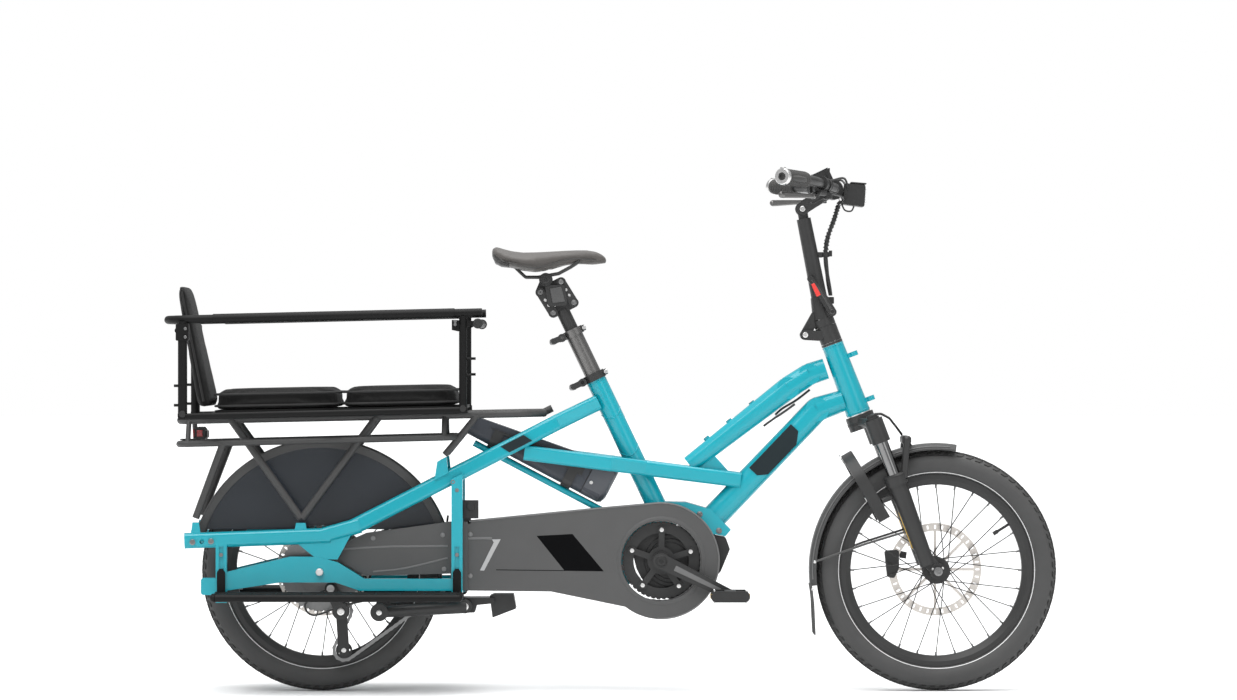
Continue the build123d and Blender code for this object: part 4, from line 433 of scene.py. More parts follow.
@dataclass
class Shape:
    """Collects the points and faces of one piece."""

    points: list[Vector] = field(default_factory=list)
    faces: list[tuple[int, ...]] = field(default_factory=list)

    def loft(self, rings: Sequence[Sequence[Vector]], closed: bool = False, caps: bool = True) -> "Shape":
        """Joins rings of the same number of points with a skin.

        Args:
            rings: Closed loops of points.
            closed: True if the last ring joins the first.
            caps: True to close the two ends.

        Returns:
            The shape itself.
        """
        start = len(self.points)
        count = len(rings[0])
        for ring in rings:
            self.points.extend(Vector(p) for p in ring)
        spans = len(rings) if closed else len(rings) - 1
        for row in range(spans):
            low, high = start + row * count, start + (row + 1) % len(rings) * count
            for i in range(count):
                j = (i + 1) % count
                self.faces.append((low + i, low + j, high + j, high + i))
        if caps and not closed:
            self.faces.append(tuple(range(start + count - 1, start - 1, -1)))
            last = start + (len(rings) - 1) * count
            self.faces.append(tuple(range(last, last + count)))
        return self

    def tube(self, path: Sequence[Vector], radius: float, sides: int = 12, closed: bool = False,
             flat: float = 1.0) -> "Shape":
        """A tube along a line of points, of round or flattened section."""
        rings = []
        direction = (path[1] - path[0]).normalized()
        first, _ = across(direction)
        for number, place in enumerate(path):
            after = path[(number + 1) % len(path)] if closed or number + 1 < len(path) else place
            before = path[number - 1] if closed or number else place
            direction = (after - before).normalized()
            first = (first - direction * first.dot(direction)).normalized()
            second = direction.cross(first)
            rings.append([place + first * radius * math.cos(a) + second * radius * flat * math.sin(a)
                          for a in (2 * math.pi * i / sides for i in range(sides))])
        return self.loft(rings, closed=closed)

    def revolve(self, centre: Vector, axis: Vector, profile: Sequence[tuple[float, float]], steps: int = 48,
                arc: float = 2 * math.pi, start: float = 0.0) -> "Shape":
        """Turns a closed profile about an axis.

        Args:
            centre: A point on the axis.
            axis: The axis direction.
            profile: Points as (radius, distance along the axis), in order round the section.
            steps: How many steps make the turn.
            arc: The angle of the turn.
            start: Where the turn starts, from the first direction square to the axis.

        Returns:
            The shape itself.
        """
        whole = arc > 2 * math.pi - 1e-6
        first, second = across(axis)
        rings = []
        for number in range(steps if whole else steps + 1):
            angle = start + arc * number / steps
            out = first * math.cos(angle) + second * math.sin(angle)
            rings.append([centre + out * radius + axis * along for radius, along in profile])
        return self.loft(rings, closed=whole)

    def disc(self, centre: Vector, axis: Vector, radius: float, height: float, edge: float = 0.0,
             sides: int = 24) -> "Shape":
        """A short round boss with a softened top edge, standing on centre along axis."""
        first, second = across(axis)
        rows = [(radius, 0.0), (radius, height - edge), (radius - edge, height)] if edge else [(radius, 0.0),
                                                                                         (radius, height)]
        rings = [[centre + axis * h + (first * math.cos(a) + second * math.sin(a)) * r
                  for a in (2 * math.pi * i / sides for i in range(sides))] for r, h in rows]
        return self.loft(rings)

    def socket_bolt(self, centre: Vector, axis: Vector, radius: float, height: float) -> "Shape":
        """A round bolt head with a hexagonal socket."""
        first, second = across(axis)

        def ring(size: float, level: float, corners: bool = False) -> list[Vector]:
            """One ring of the head; corners pulls it to a hexagon."""
            row = []
            for i in range(24):
                a = 2 * math.pi * i / 24
                reach = size
                if corners:
                    reach = size * math.cos(math.pi / 6) / math.cos((a % (math.pi / 3)) - math.pi / 6)
                row.append(centre + axis * level + (first * math.cos(a) + second * math.sin(a)) * reach)
            return row

        return self.loft([ring(radius, 0), ring(radius, height * 0.8), ring(radius * 0.86, height),
                          ring(radius * 0.55, height, True), ring(radius * 0.5, height * 0.3, True)])

    def block(self, centre: Vector, along: Vector, side: Vector, size: Sequence[float], shrink: float = 1.0) -> "Shape":
        """A box of size (along, side, third way), whose last face may be smaller than its first."""
        along, side = along.normalized(), side.normalized()
        rise = along.cross(side).normalized()
        rings = []
        for level, share in ((-0.5, 1.0), (0.5, shrink)):
            base = centre + rise * size[2] * level
            rings.append([base + along * size[0] * 0.5 * a * share + side * size[1] * 0.5 * b * share
                          for a, b in ((-1, -1), (1, -1), (1, 1), (-1, 1))])
        return self.loft(rings)

    def plate(self, outline: Sequence[Vector], thickness: Vector) -> "Shape":
        """A plate from an outline and the vector to its other face."""
        return self.loft([list(outline), [p + thickness for p in outline]])

    def piece(self, name: str, finish: Finish, body: str, slot: str, bevel: float = 0.0,
              angle: float = SMOOTH_ANGLE, bend: "Bend | None" = None) -> bpy.types.Object:
        """Makes the object, dresses it and sets it on its body, or bakes it in place when a bend is given.

        Args:
            name: The piece's name.
            finish: Its finish.
            body: The body that carries it.
            slot: The record's material slot; not used.
            bevel: The width of its softened edges, or none.
            angle: Edges sharper than this stay sharp.
            bend: A Bend, or none; when given, the piece's transform is baked and it is left off its body, and nothing
                bends it.

        Returns:
            The new object.
        """
        mesh = bpy.data.meshes.new(name)
        mesh.from_pydata([tuple(p) for p in self.points], [], self.faces)
        work = bmesh.new()
        work.from_mesh(mesh)
        bmesh.ops.recalc_face_normals(work, faces=work.faces)
        work.to_mesh(mesh)
        work.free()
        smooth(mesh, angle)
        piece = bpy.data.objects.new(name, mesh)
        bpy.context.scene.collection.objects.link(piece)
        mesh.materials.append(finish.material())
        if bevel:
            soft = piece.modifiers.new("soft_edges", "BEVEL")
            soft.width = bevel
            soft.segments = 2
            soft.limit_method = "ANGLE"
        if bend:
            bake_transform(piece)
        else:
            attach(piece, body)
        log.info("%s on %s", name, body)
        return piece


def smooth(mesh: bpy.types.Mesh, angle: float) -> None:
    """Shades a mesh smooth except along its sharp edges."""
    mesh.polygons.foreach_set("use_smooth", [True] * len(mesh.polygons))
    mesh.set_sharp_from_angle(angle=angle)
    mesh.update()


def circle(centre: Vector, axis: Vector, radius: float, steps: int = 64) -> list[Vector]:
    """Points round a circle."""
    first, second = across(axis)
    return [centre + (first * math.cos(a) + second * math.sin(a)) * radius
            for a in (2 * math.pi * i / steps for i in range(steps))]


def side_point(x: float, y: float, z: float) -> Vector:
    """A point given in millimetres."""
    return Vector((x, y, z)) * MM


# ------------------------------------------------------------------ the frame that everything follows
@dataclass
class Rig:
    """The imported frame's joints, by name."""

    joints: dict[str, dict]

    def pivot(self, name: str) -> Vector:
        """A joint's place."""
        return Vector(self.joints[name]["pos_m"])

    def axis(self, name: str) -> Vector:
        """A joint's axis."""
        return Vector(self.joints[name]["axis"]).normalized()

    def steer(self, out: float, left: float, up: float) -> Vector:
        """A point in steering directions, in millimetres out in front, left and up the steering axis."""
        axis = self.axis("steering_turn")
        forward = Vector((axis.z, 0, -axis.x))
        return self.pivot("steering_turn") + forward * out * MM + LEFT * left * MM + axis * up * MM


@dataclass
class Studio:
    """A pale floor, soft light and a long lens straight from the drive side."""

    view_width: float = 2.705
    aim_x: float = 0.013
    aim_z: float = 0.744
    distance: float = 11.0
    sensor: float = 36.0

    def build(self) -> None:
        """Makes the floor, the lights and the camera."""
        scene = bpy.context.scene
        scene.view_settings.view_transform = "Standard"
        scene.view_settings.look = "None"
        scene.world = self.room()
        self.floor()
        self.light("key_panel", Vector((-1.2, -3.6, 4.0)), 2.2, 62.0)
        self.light("fill_panel", Vector((3.2, -3.8, 1.8)), 2.0, 18.0)
        self.light("top_panel", Vector((0.3, 0.9, 4.2)), 2.6, 60.0)
        self.sun()
        camera = bpy.data.cameras.new("camera")
        camera.lens = self.sensor * self.distance / self.view_width
        camera.sensor_width = self.sensor
        camera.clip_end = 100.0
        holder = bpy.data.objects.new("camera", camera)
        holder.location = (self.aim_x, -self.distance, self.aim_z)
        holder.rotation_euler = (math.radians(90), 0, 0)
        scene.collection.objects.link(holder)
        scene.camera = holder

    @staticmethod
    def room() -> bpy.types.World:
        """A room that looks white, and whose light falls off below the horizon."""
        world = bpy.data.worlds.new("soft_room")
        world.use_nodes = True
        tree = world.node_tree
        tree.nodes.clear()
        seen = tree.nodes.new("ShaderNodeBackground")
        soft = tree.nodes.new("ShaderNodeBackground")
        seen.inputs["Strength"].default_value = 1.0
        seen.inputs["Color"].default_value = (1.0, 1.0, 1.0, 1.0)
        height = tree.nodes.new("ShaderNodeSeparateXYZ")
        tree.links.new(tree.nodes.new("ShaderNodeTexCoord").outputs["Generated"], height.inputs[0])
        ramp = tree.nodes.new("ShaderNodeValToRGB")
        ramp.color_ramp.elements[0].position = 0.30
        ramp.color_ramp.elements[0].color = (0.20, 0.20, 0.20, 1.0)
        ramp.color_ramp.elements[1].position = 0.80
        ramp.color_ramp.elements[1].color = (0.80, 0.81, 0.82, 1.0)
        tree.links.new(math_node(tree, "MULTIPLY", math_node(tree, "ADD", height.outputs["Z"], 1.0), 0.5),
                       ramp.inputs["Fac"])
        tree.links.new(ramp.outputs["Color"], soft.inputs["Color"])
        soft.inputs["Strength"].default_value = 0.9
        choose = tree.nodes.new("ShaderNodeMixShader")
        ray = tree.nodes.new("ShaderNodeLightPath")
        tree.links.new(ray.outputs["Is Camera Ray"], choose.inputs[0])
        tree.links.new(soft.outputs[0], choose.inputs[1])
        tree.links.new(seen.outputs[0], choose.inputs[2])
        leave = tree.nodes.new("ShaderNodeOutputWorld")
        tree.links.new(choose.outputs[0], leave.inputs["Surface"])
        return world

    @staticmethod
    def sun() -> None:
        """A wide, soft sun that keeps the whole floor pale and leaves a shadow at the wheels."""
        data = bpy.data.lights.new("soft_sun", "SUN")
        data.energy = 2.6
        data.angle = math.radians(55)
        lamp = bpy.data.objects.new("soft_sun", data)
        lamp.rotation_euler = (math.radians(14), math.radians(-8), 0)
        bpy.context.scene.collection.objects.link(lamp)

    def floor(self) -> None:
        """Makes the pale floor."""
        mesh = bpy.data.meshes.new("studio_floor")
        half = 45.0
        mesh.from_pydata([(-half, -half, -0.0005), (half, -half, -0.0005), (half, half, -0.0005),
                          (-half, half, -0.0005)], [], [(0, 1, 2, 3)])
        floor = bpy.data.objects.new("studio_floor", mesh)
        bpy.context.scene.collection.objects.link(floor)
        paint = bpy.data.materials.new("studio_floor_paint")
        paint.use_nodes = True
        shader = paint.node_tree.nodes["Principled BSDF"]
        shader.inputs["Base Color"].default_value = (0.93, 0.93, 0.93, 1.0)
        shader.inputs["Roughness"].default_value = 0.9
        shader.inputs["Specular IOR Level"].default_value = 0.0
        mesh.materials.append(paint)

    def light(self, name: str, place: Vector, size: float, power: float) -> None:
        """Adds a square soft light that faces the middle of the bicycle."""
        data = bpy.data.lights.new(name, "AREA")
        data.size = size
        data.energy = power
        lamp = bpy.data.objects.new(name, data)
        lamp.location = place
        lamp.rotation_mode = "QUATERNION"
        lamp.rotation_quaternion = (Vector((0, 0, 0.55)) - place).to_track_quat("-Z", "Y")
        bpy.context.scene.collection.objects.link(lamp)


def paint_nodes(nodes: dict[str, bpy.types.Object]) -> None:
    """Gives every carried-over node its finish and smooth shading."""
    for finish, names in NODE_FINISHES.items():
        for name in names:
            mesh = nodes[name].data
            mesh.materials.clear()
            mesh.materials.append(finish.material())
            smooth(mesh, SMOOTH_ANGLE)
    for name in REPLACED:
        nodes[name].data.materials.clear()
        nodes[name].data.materials.append(RUBBER.material())


# ------------------------------------------------------------------ wheels
@dataclass
class Tyre:
    """A tyre with a moulded tread, on its wheel."""

    node: str
    body: str
    joint: str
    outer: float = 263.0
    width: float = 59.0
    tread_deep: float = 2.2
    blocks: int = 76

    def build(self, rig: Rig) -> None:
        """Makes the carcass, the tread blocks, the stripes and the nipples."""
        centre = rig.pivot(self.joint)
        centre.y = 0.0
        crown = self.outer - self.width / 2
        carcass = Shape()
        carcass.revolve(centre, LEFT, self.section(crown), steps=144)
        tyre = carcass.piece(self.body + "_tyre_carcass", TYRE, self.body, "tyre")
        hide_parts(self.node)
        self.tread(centre, crown).piece(self.body + "_tread_blocks", TREAD, self.body, "tyre", bevel=0.0005)
        stripes = Shape()
        for side in (1, -1):
            low = self.skin(crown, 129.5, 0.15)
            high = self.skin(crown, 133.0, 0.15)
            inner = self.skin(crown, 133.0, -0.6)
            foot = self.skin(crown, 129.5, -0.6)
            stripes.revolve(centre, LEFT, [(r * MM, y * side * MM) for r, y in (low, high, inner, foot)], steps=144)
        stripes.piece(self.body + "_side_stripes", STRIPE, self.body, "tyre")
        self.rim_trim(centre)

    def skin(self, crown: float, angle: float, proud: float) -> tuple[float, float]:
        """A point of the tyre's section at an angle from the crown, as (radius, distance to the side)."""
        lean = math.radians(angle)
        step = min(max((abs(angle) - 50.0) / 6.0, 0.0), 1.0)
        size = self.width / 2 - self.tread_deep * (1 - step) + proud
        return crown + size * math.cos(lean), size * math.sin(lean)

    def section(self, crown: float) -> list[tuple[float, float]]:
        """The carcass section, outside and then inside, in metres."""
        outside = [self.skin(crown, a, 0.0) for a in (*range(-139, -56, 6), -56, -50, -40, -30, -20, -10, 0, 10, 20,
                                                     30, 40, 50, *range(56, 140, 6))]
        foot = [(210.6, 13.7), (201.5, 13.5), (201.5, 10.6), (209.0, 10.4)]
        inside = [self.skin(crown, a, -3.6) for a in range(135, -136, -15)]
        left_foot = [(r, -y) for r, y in reversed(foot)]
        return [(r * MM, y * MM) for r, y in (*outside, *foot, *inside, *left_foot)]

    def tread(self, centre: Vector, crown: float) -> Shape:
        """Blocks round the tread: a centre row, two middle rows and two shoulder rows."""
        shape = Shape()
        rows = ((0.0, 13.0, 0.78, 0.0), (17.5, 11.0, 0.66, 0.5), (-17.5, 11.0, 0.66, 0.5), (37.0, 17.0, 0.52, 0.0),
                (-37.0, 17.0, 0.52, 0.5))
        pitch = 2 * math.pi / self.blocks
        for lean, spread, share, shift in rows:
            for number in range(self.blocks):
                middle = (number + shift) * pitch
                half = pitch * share / 2
                rings = []
                for proud in (-0.5, self.tread_deep - 0.25):
                    ring = []
                    for turn, tilt in ((-1, -1), (1, -1), (1, 1), (-1, 1)):
                        skew = 0.16 * pitch * (tilt if lean >= 0 else -tilt)
                        radius, y = self.skin(crown, 0.0, 0.0)
                        angle = lean + tilt * spread / 2
                        size = self.width / 2 - self.tread_deep + proud
                        radius = crown + size * math.cos(math.radians(angle))
                        y = size * math.sin(math.radians(angle))
                        spin = middle + turn * half * (0.9 if proud > 0 else 1.0) + skew
                        ring.append(centre + Vector((math.cos(spin) * radius, y, math.sin(spin) * radius)) * MM)
                    rings.append(ring)
                shape.loft(rings)
        return shape

    def rim_trim(self, centre: Vector) -> None:
        """Spoke nipples and the valve."""
        nipples = Shape()
        for number in range(28):
            angle = 2 * math.pi * number / 28
            out = Vector((math.cos(angle), 0, math.sin(angle)))
            nipples.disc(centre + out * 179.0 * MM + LEFT * (3.0 if number % 2 else -3.0) * MM, out, 2.2 * MM, 8.2 * MM,
                         sides=10)
        nipples.piece(self.body + "_spoke_nipples", DARK_STEEL, self.body, "steel")
        angle = 2 * math.pi * 2.5 / 28
        out = Vector((math.cos(angle), 0, math.sin(angle)))
        valve = Shape()
        valve.disc(centre + out * 151.0 * MM, out, 3.0 * MM, 36.2 * MM, 1.0 * MM, 14)
        valve.disc(centre + out * 148.0 * MM, out, 4.4 * MM, 12.0 * MM, 1.2 * MM, 14)
        valve.piece(self.body + "_valve", TRIM_BLACK, self.body, "rubber")


@dataclass
class HubDress:
    """End caps, lock rings and disc bolts at the two hubs."""

    def build(self, rig: Rig) -> None:
        """Makes the pieces of both hubs."""
        front, rear = rig.pivot("front_wheel_spin"), rig.pivot("rear_wheel_spin")
        front.y = rear.y = 0.0
        for name, body, centre, place in (("front", "front_wheel", front, 33.5), ("rear", "rear_wheel", rear, 29.0)):
            bolts = Shape()
            ring = Shape()
            side = place + 2.0
            for number in range(6):
                angle = math.radians(60 * number + 12)
                out = Vector((math.cos(angle), 0, math.sin(angle)))
                bolts.socket_bolt(centre + out * 22.0 * MM + LEFT * side * MM, LEFT, 3.2 * MM, 1.8 * MM)
            bolts.piece(name + "_disc_bolts", DARK_STEEL, body, "steel")
            inner = (centre + LEFT * (place - 0.9) * MM)
            ring.revolve(inner, LEFT, [(17.3 * MM, 0), (28.0 * MM, 0), (28.0 * MM, 0.8 * MM), (17.3 * MM, 0.8 * MM)], 48)
            ring.piece(name + "_disc_carrier", SATIN_BLACK, body, "black_metal")
        nut = Shape()
        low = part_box("front_axle")[0].y
        nut.socket_bolt(Vector((front.x, low, front.z)), -LEFT, 9.5 * MM, 2.4 * MM)
        nut.piece("front_axle_cap", DARK_STEEL, "lowers", "steel")
        for side in (1, -1):
            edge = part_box("frame_fasteners")[1].y if side > 0 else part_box("frame_fasteners")[0].y
            cap = Shape()
            cap.disc(Vector((rear.x, edge - side * 5.0 * MM, rear.z)), LEFT * side, 8.6 * MM, 5.6 * MM, 1.2 * MM, 6)
            cap.piece("rear_axle_nut_" + ("left" if side > 0 else "right"), STEEL, "frame", "steel", bevel=0.0004)


# ------------------------------------------------------------------ chain drive
@dataclass
class ChainDrive:
    """The chain's links, the chain case's trim and the bolts of the drive."""

    pitch: float = 12.7
    plane_y: float = -49.8
    wheels: tuple[tuple[str, float, float, float, int], ...] = (
        ("rear_wheel_spin", 0.0, 0.0, 28, 1), ("crank_turn", 0.0, 0.0, 44, 1), ("", -330.0, 267.0, 16.0, 1),
        ("", -584.4, 91.0, 22.54, 1), ("", -590.0, 176.0, 22.54, -1))

    def build(self, rig: Rig) -> None:
        """Makes the links and all the trim."""
        self.links(rig)
        self.case_trim(rig)
        self.small_parts(rig)

    def circles(self, rig: Rig) -> list[tuple[tuple[float, float], float, int]]:
        """The wheels that the chain runs round, in millimetres."""
        rows = []
        for joint, x, z, size, side in self.wheels:
            if joint:
                place = rig.pivot(joint)
                x, z = place.x / MM, place.z / MM
                size = self.pitch / 2 / math.sin(math.pi / size)
            rows.append(((x, z), size, side))
        return rows

    def line(self, rig: Rig) -> list[Vector]:
        """Points along the chain, at an even pitch."""
        rows = self.circles(rig)
        runs = []
        for number, (place, radius, side) in enumerate(rows):
            after, after_radius, after_side = rows[(number + 1) % len(rows)]
            dx, dz = after[0] - place[0], after[1] - place[1]
            lean = math.asin((after_side * after_radius - side * radius) / math.hypot(dx, dz))
            normal = math.atan2(dz, dx) + math.pi / 2 + lean
            start = (place[0] + side * radius * math.cos(normal), place[1] + side * radius * math.sin(normal))
            end = (after[0] + after_side * after_radius * math.cos(normal),
                   after[1] + after_side * after_radius * math.sin(normal))
            runs.append((start, end))
        dense: list[Vector] = []
        for number, (place, radius, side) in enumerate(rows):
            arrive, leave = runs[number - 1][1], runs[number][0]
            first = math.atan2(arrive[1] - place[1], arrive[0] - place[0])
            turn = (math.atan2(leave[1] - place[1], leave[0] - place[0]) - first) * -side % (2 * math.pi) * -side
            steps = max(4, int(abs(turn) * radius / 1.2))
            for step in range(steps):
                a = first + turn * step / steps
                dense.append(side_point(place[0] + radius * math.cos(a), self.plane_y, place[1] + radius * math.sin(a)))
            start, end = runs[number]
            length = math.hypot(end[0] - start[0], end[1] - start[1])
            for step in range(int(length / 1.2)):
                t = step / int(length / 1.2)
                dense.append(side_point(start[0] + (end[0] - start[0]) * t, self.plane_y,
                                        start[1] + (end[1] - start[1]) * t))
        total = sum((b - a).length for a, b in zip(dense, dense[1:] + dense[:1]))
        count = 2 * round(total / (2 * self.pitch * MM))
        even, travelled, target = [], 0.0, 0.0
        for a, b in zip(dense, dense[1:] + dense[:1]):
            span = (b - a).length
            while target < travelled + span and len(even) < count:
                even.append(a.lerp(b, (target - travelled) / span))
                target += total / count
            travelled += span
        return even

    def links(self, rig: Rig) -> None:
        """Two side plates and a roller for each link."""
        pins = self.line(rig)
        shape = Shape()
        for number, (start, end) in enumerate(zip(pins, pins[1:] + pins[:1])):
            along = (end - start).normalized()
            out = LEFT.cross(along)
            offset = 1.55 if number % 2 else 2.25
            for side in (1, -1):
                outline = []
                for place, sign in ((start, -1), (end, 1)):
                    for i in range(7):
                        a = math.pi * i / 6 - math.pi / 2
                        outline.append(place + along * sign * math.cos(a) * 3.9 * MM
                                       + out * math.sin(a) * 3.9 * MM * sign)
                middle = (start + end) / 2
                waist = [middle + out * 2.9 * MM, middle - out * 2.9 * MM]
                ordered = [*outline[7:], waist[0], *outline[:7], waist[1]]
                base = LEFT * side * (offset - 0.35) * MM
                shape.plate([p + base for p in ordered], LEFT * side * 0.6 * MM)
            shape.disc(start - LEFT * 2.3 * MM, LEFT, 2.0 * MM, 4.6 * MM, sides=8)
        guide, tension = rig.pivot("derailleur_swing"), side_point(-584.4, self.plane_y, 91)
        sway = Bend("derailleur_cage", guide.lerp(tension, 0.35), guide.lerp(tension, 0.75))
        chain = shape.piece("chain_links", DARK_STEEL, "frame", "steel", angle=math.radians(40), bend=sway)
        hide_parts("chain")

    def case_trim(self, rig: Rig) -> None:
        """The case's raised rim, ribs, dark shapes and bolts."""
        crank = rig.pivot("crank_turn")
        face = -67.0
        hub = Vector((crank.x, face * MM, crank.z))
        rim = Shape()
        rim.revolve(hub, -LEFT, [(r * MM, d * MM) for r, d in ((87.2, -0.4), (87.2, 1.3), (88.4, 2.2), (93.0, 2.2),
                                                              (96.5, 0.2), (96.5, -0.4))], 120)
        rim.piece("case_window_rim", CASE_GREY, "frame", "dark_plastic")
        edge = Shape()
        reach = 125.6
        path = [hub + Vector((math.cos(a), 0, math.sin(a))) * reach * MM
                for a in (math.radians(98 - i * 3.0) for i in range(65))]
        path = [side_point(-312.0, face, 371.6), side_point(-33.0, face, 399.4), *path]
        edge.tube(path, 1.7 * MM, 8)
        edge.piece("case_edge_bead", RIM_GREY, "frame", "dark_plastic")
        proud = -0.25 * MM * LEFT
        self.decal("case_dark_panel", DECAL, face, [(-165, 340), (-87, 344), (-19, 263), (-104, 264)], proud)
        self.decal("case_dark_line", DECAL, face, [(-253, 267.0), (-104, 265.2), (-104, 263.8), (-253, 265.4)], proud)
        self.decal("case_silver_slash", SILVER_DECAL, face,
                   [(-262, 332.2), (-243, 332.8), (-251, 318), (-279, 264.5), (-288, 265), (-258, 326)], proud * 3)
        recess = Shape()
        recess.tube([side_point(-314, face, 334), side_point(-285, face, 335), side_point(-262, face, 334.5)],
                    2.8 * MM, 8, flat=0.5)
        box = Shape()
        box.block(side_point(-308, -58, 398), UP, Vector((1, 0, 0)), (0.040, 0.034, 0.030), 0.86)
        box.disc(side_point(-308, -72.5, 404), -LEFT, 9.0 * MM, 3.0 * MM, 0.8 * MM)
        box.block(side_point(-316, -58, 374), UP, Vector((1, 0, 0)), (0.016, 0.016, 0.018))
        box.piece("wheel_lock_box", TRIM_BLACK, "frame", "black_plastic", bevel=0.0015)
        recess.piece("case_pressed_rib", RIM_GREY, "frame", "dark_plastic")
        rear_face = -72.0
        ribs = Shape()
        ribs.tube([side_point(-585, rear_face, 312), side_point(-480, rear_face, 317), side_point(-358, rear_face, 318)],
                  2.4 * MM, 8, flat=0.5)
        ribs.tube(smooth_path([side_point(-520, rear_face, 262), side_point(-450, rear_face, 270),
                               side_point(-358, rear_face, 292)]), 2.0 * MM, 8, flat=0.5)
        ribs.piece("rear_case_ribs", RIM_GREY, "frame", "dark_plastic")
        bolts = Shape()
        for x, y, z in ((-309, face, 343.5), (-309, face, 253), (-369, rear_face, 342), (-366, rear_face, 268),
                        (-520, rear_face, 335)):
            bolts.disc(side_point(x, y + 0.5, z), -LEFT, 5.2 * MM, 1.4 * MM, 0.4 * MM)
            bolts.socket_bolt(side_point(x, y - 0.8, z), -LEFT, 3.4 * MM, 2.0 * MM)
        bolts.piece("case_bolts", DARK_STEEL, "frame", "steel")

    def decal(self, name: str, finish: Finish, face: float, outline: Iterable[tuple[float, float]],
              proud: Vector) -> None:
        """A thin flat shape on the case's outer face."""
        shape = Shape()
        shape.plate([side_point(x, face + 0.2, z) for x, z in outline], proud + LEFT * -0.2 * MM)
        shape.piece(name, finish, "frame", "dark_plastic")

    def small_parts(self, rig: Rig) -> None:
        """Crank, ring, pedal and derailleur fastenings."""
        crank = rig.pivot("crank_turn")
        eye = rig.pivot("right_pedal_spin")
        cap = Shape()
        low = -94.0
        cap.disc(Vector((crank.x, low * MM, crank.z)), -LEFT, 12.5 * MM, 2.0 * MM, 1.0 * MM, 32)
        cap.socket_bolt(Vector((crank.x, (low - 1.8) * MM, crank.z)), -LEFT, 9.0 * MM, 2.4 * MM)
        cap.piece("right_crank_cap", TRIM_BLACK, "crank", "black_plastic")
        left_cap = Shape()
        left_cap.disc(Vector((crank.x, 94.0 * MM, crank.z)), LEFT, 12.5 * MM, 2.0 * MM, 1.0 * MM, 32)
        left_cap.socket_bolt(Vector((crank.x, 95.8 * MM, crank.z)), LEFT, 9.0 * MM, 2.4 * MM)
        left_cap.piece("left_crank_cap", TRIM_BLACK, "crank", "black_plastic")
        groove = Shape()
        run = Vector((eye.x - crank.x, 0, eye.z - crank.z))
        square = LEFT.cross(run).normalized()
        start, end = crank + run * 0.2, crank + run * 0.86
        outline = [(start, 6.0), (end, 4.0), (end, -4.0), (start, -6.0)]
        groove.plate([Vector((p.x, (low + 0.2) * MM, p.z)) + square * w * MM for p, w in outline], -LEFT * 0.7 * MM)
        groove.piece("right_crank_panel", RIM_GREY, "crank", "black_metal", bevel=0.0003)
        bolts = Shape()
        for number in range(5):
            angle = math.radians(17 + 72 * number)
            place = Vector((crank.x + 67 * MM * math.cos(angle), -58.8 * MM, crank.z + 67 * MM * math.sin(angle)))
            bolts.socket_bolt(place, -LEFT, 4.6 * MM, 1.4 * MM)
        bolts.piece("chainring_bolts", STEEL, "crank", "steel")
        for body in ("right_pedal", "left_pedal"):
            lo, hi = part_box(body)
            pins = Shape()
            middle = (lo + hi) / 2
            for dx in (-0.034, 0.034):
                for share in (0.12, 0.38, 0.62, 0.88):
                    for up in (1, -1):
                        base = Vector((middle.x + dx, lo.y + (hi.y - lo.y) * share, middle.z + up * 11.2 * MM))
                        pins.disc(base, UP * up, 1.8 * MM, 2.4 * MM, 0.5 * MM, 10)
            pins.piece(body + "_pins", STEEL, body, "steel")
            reflectors = Shape()
            for side in (1, -1):
                edge = hi.x if side > 0 else lo.x
                reflectors.block(Vector((edge - side * 0.4 * MM, middle.y, middle.z)), LEFT, UP,
                                 (0.042, 0.010, 0.0022))
            reflectors.piece(body + "_reflectors", GOLD, body, "black_plastic", bevel=0.0005)
        guide, tension = side_point(-590, 0, 176), side_point(-584.4, 0, 91)
        gear = Shape()
        gear.socket_bolt(Vector((guide.x, -79.8 * MM, guide.z)), -LEFT, 8.0 * MM, 2.2 * MM)
        gear.disc(side_point(-612, -80.5, 226), -LEFT, 8.5 * MM, 2.4 * MM, 0.6 * MM)
        gear.socket_bolt(side_point(-612, -82.6, 226), -LEFT, 6.0 * MM, 1.8 * MM)
        gear.piece("derailleur_bolts", STEEL, "frame", "steel")
        cage = Shape()
        cage.socket_bolt(Vector((tension.x, -59.6 * MM, tension.z)), -LEFT, 5.2 * MM, 2.0 * MM)
        cage.piece("tension_wheel_bolt", STEEL, "derailleur_cage", "steel")


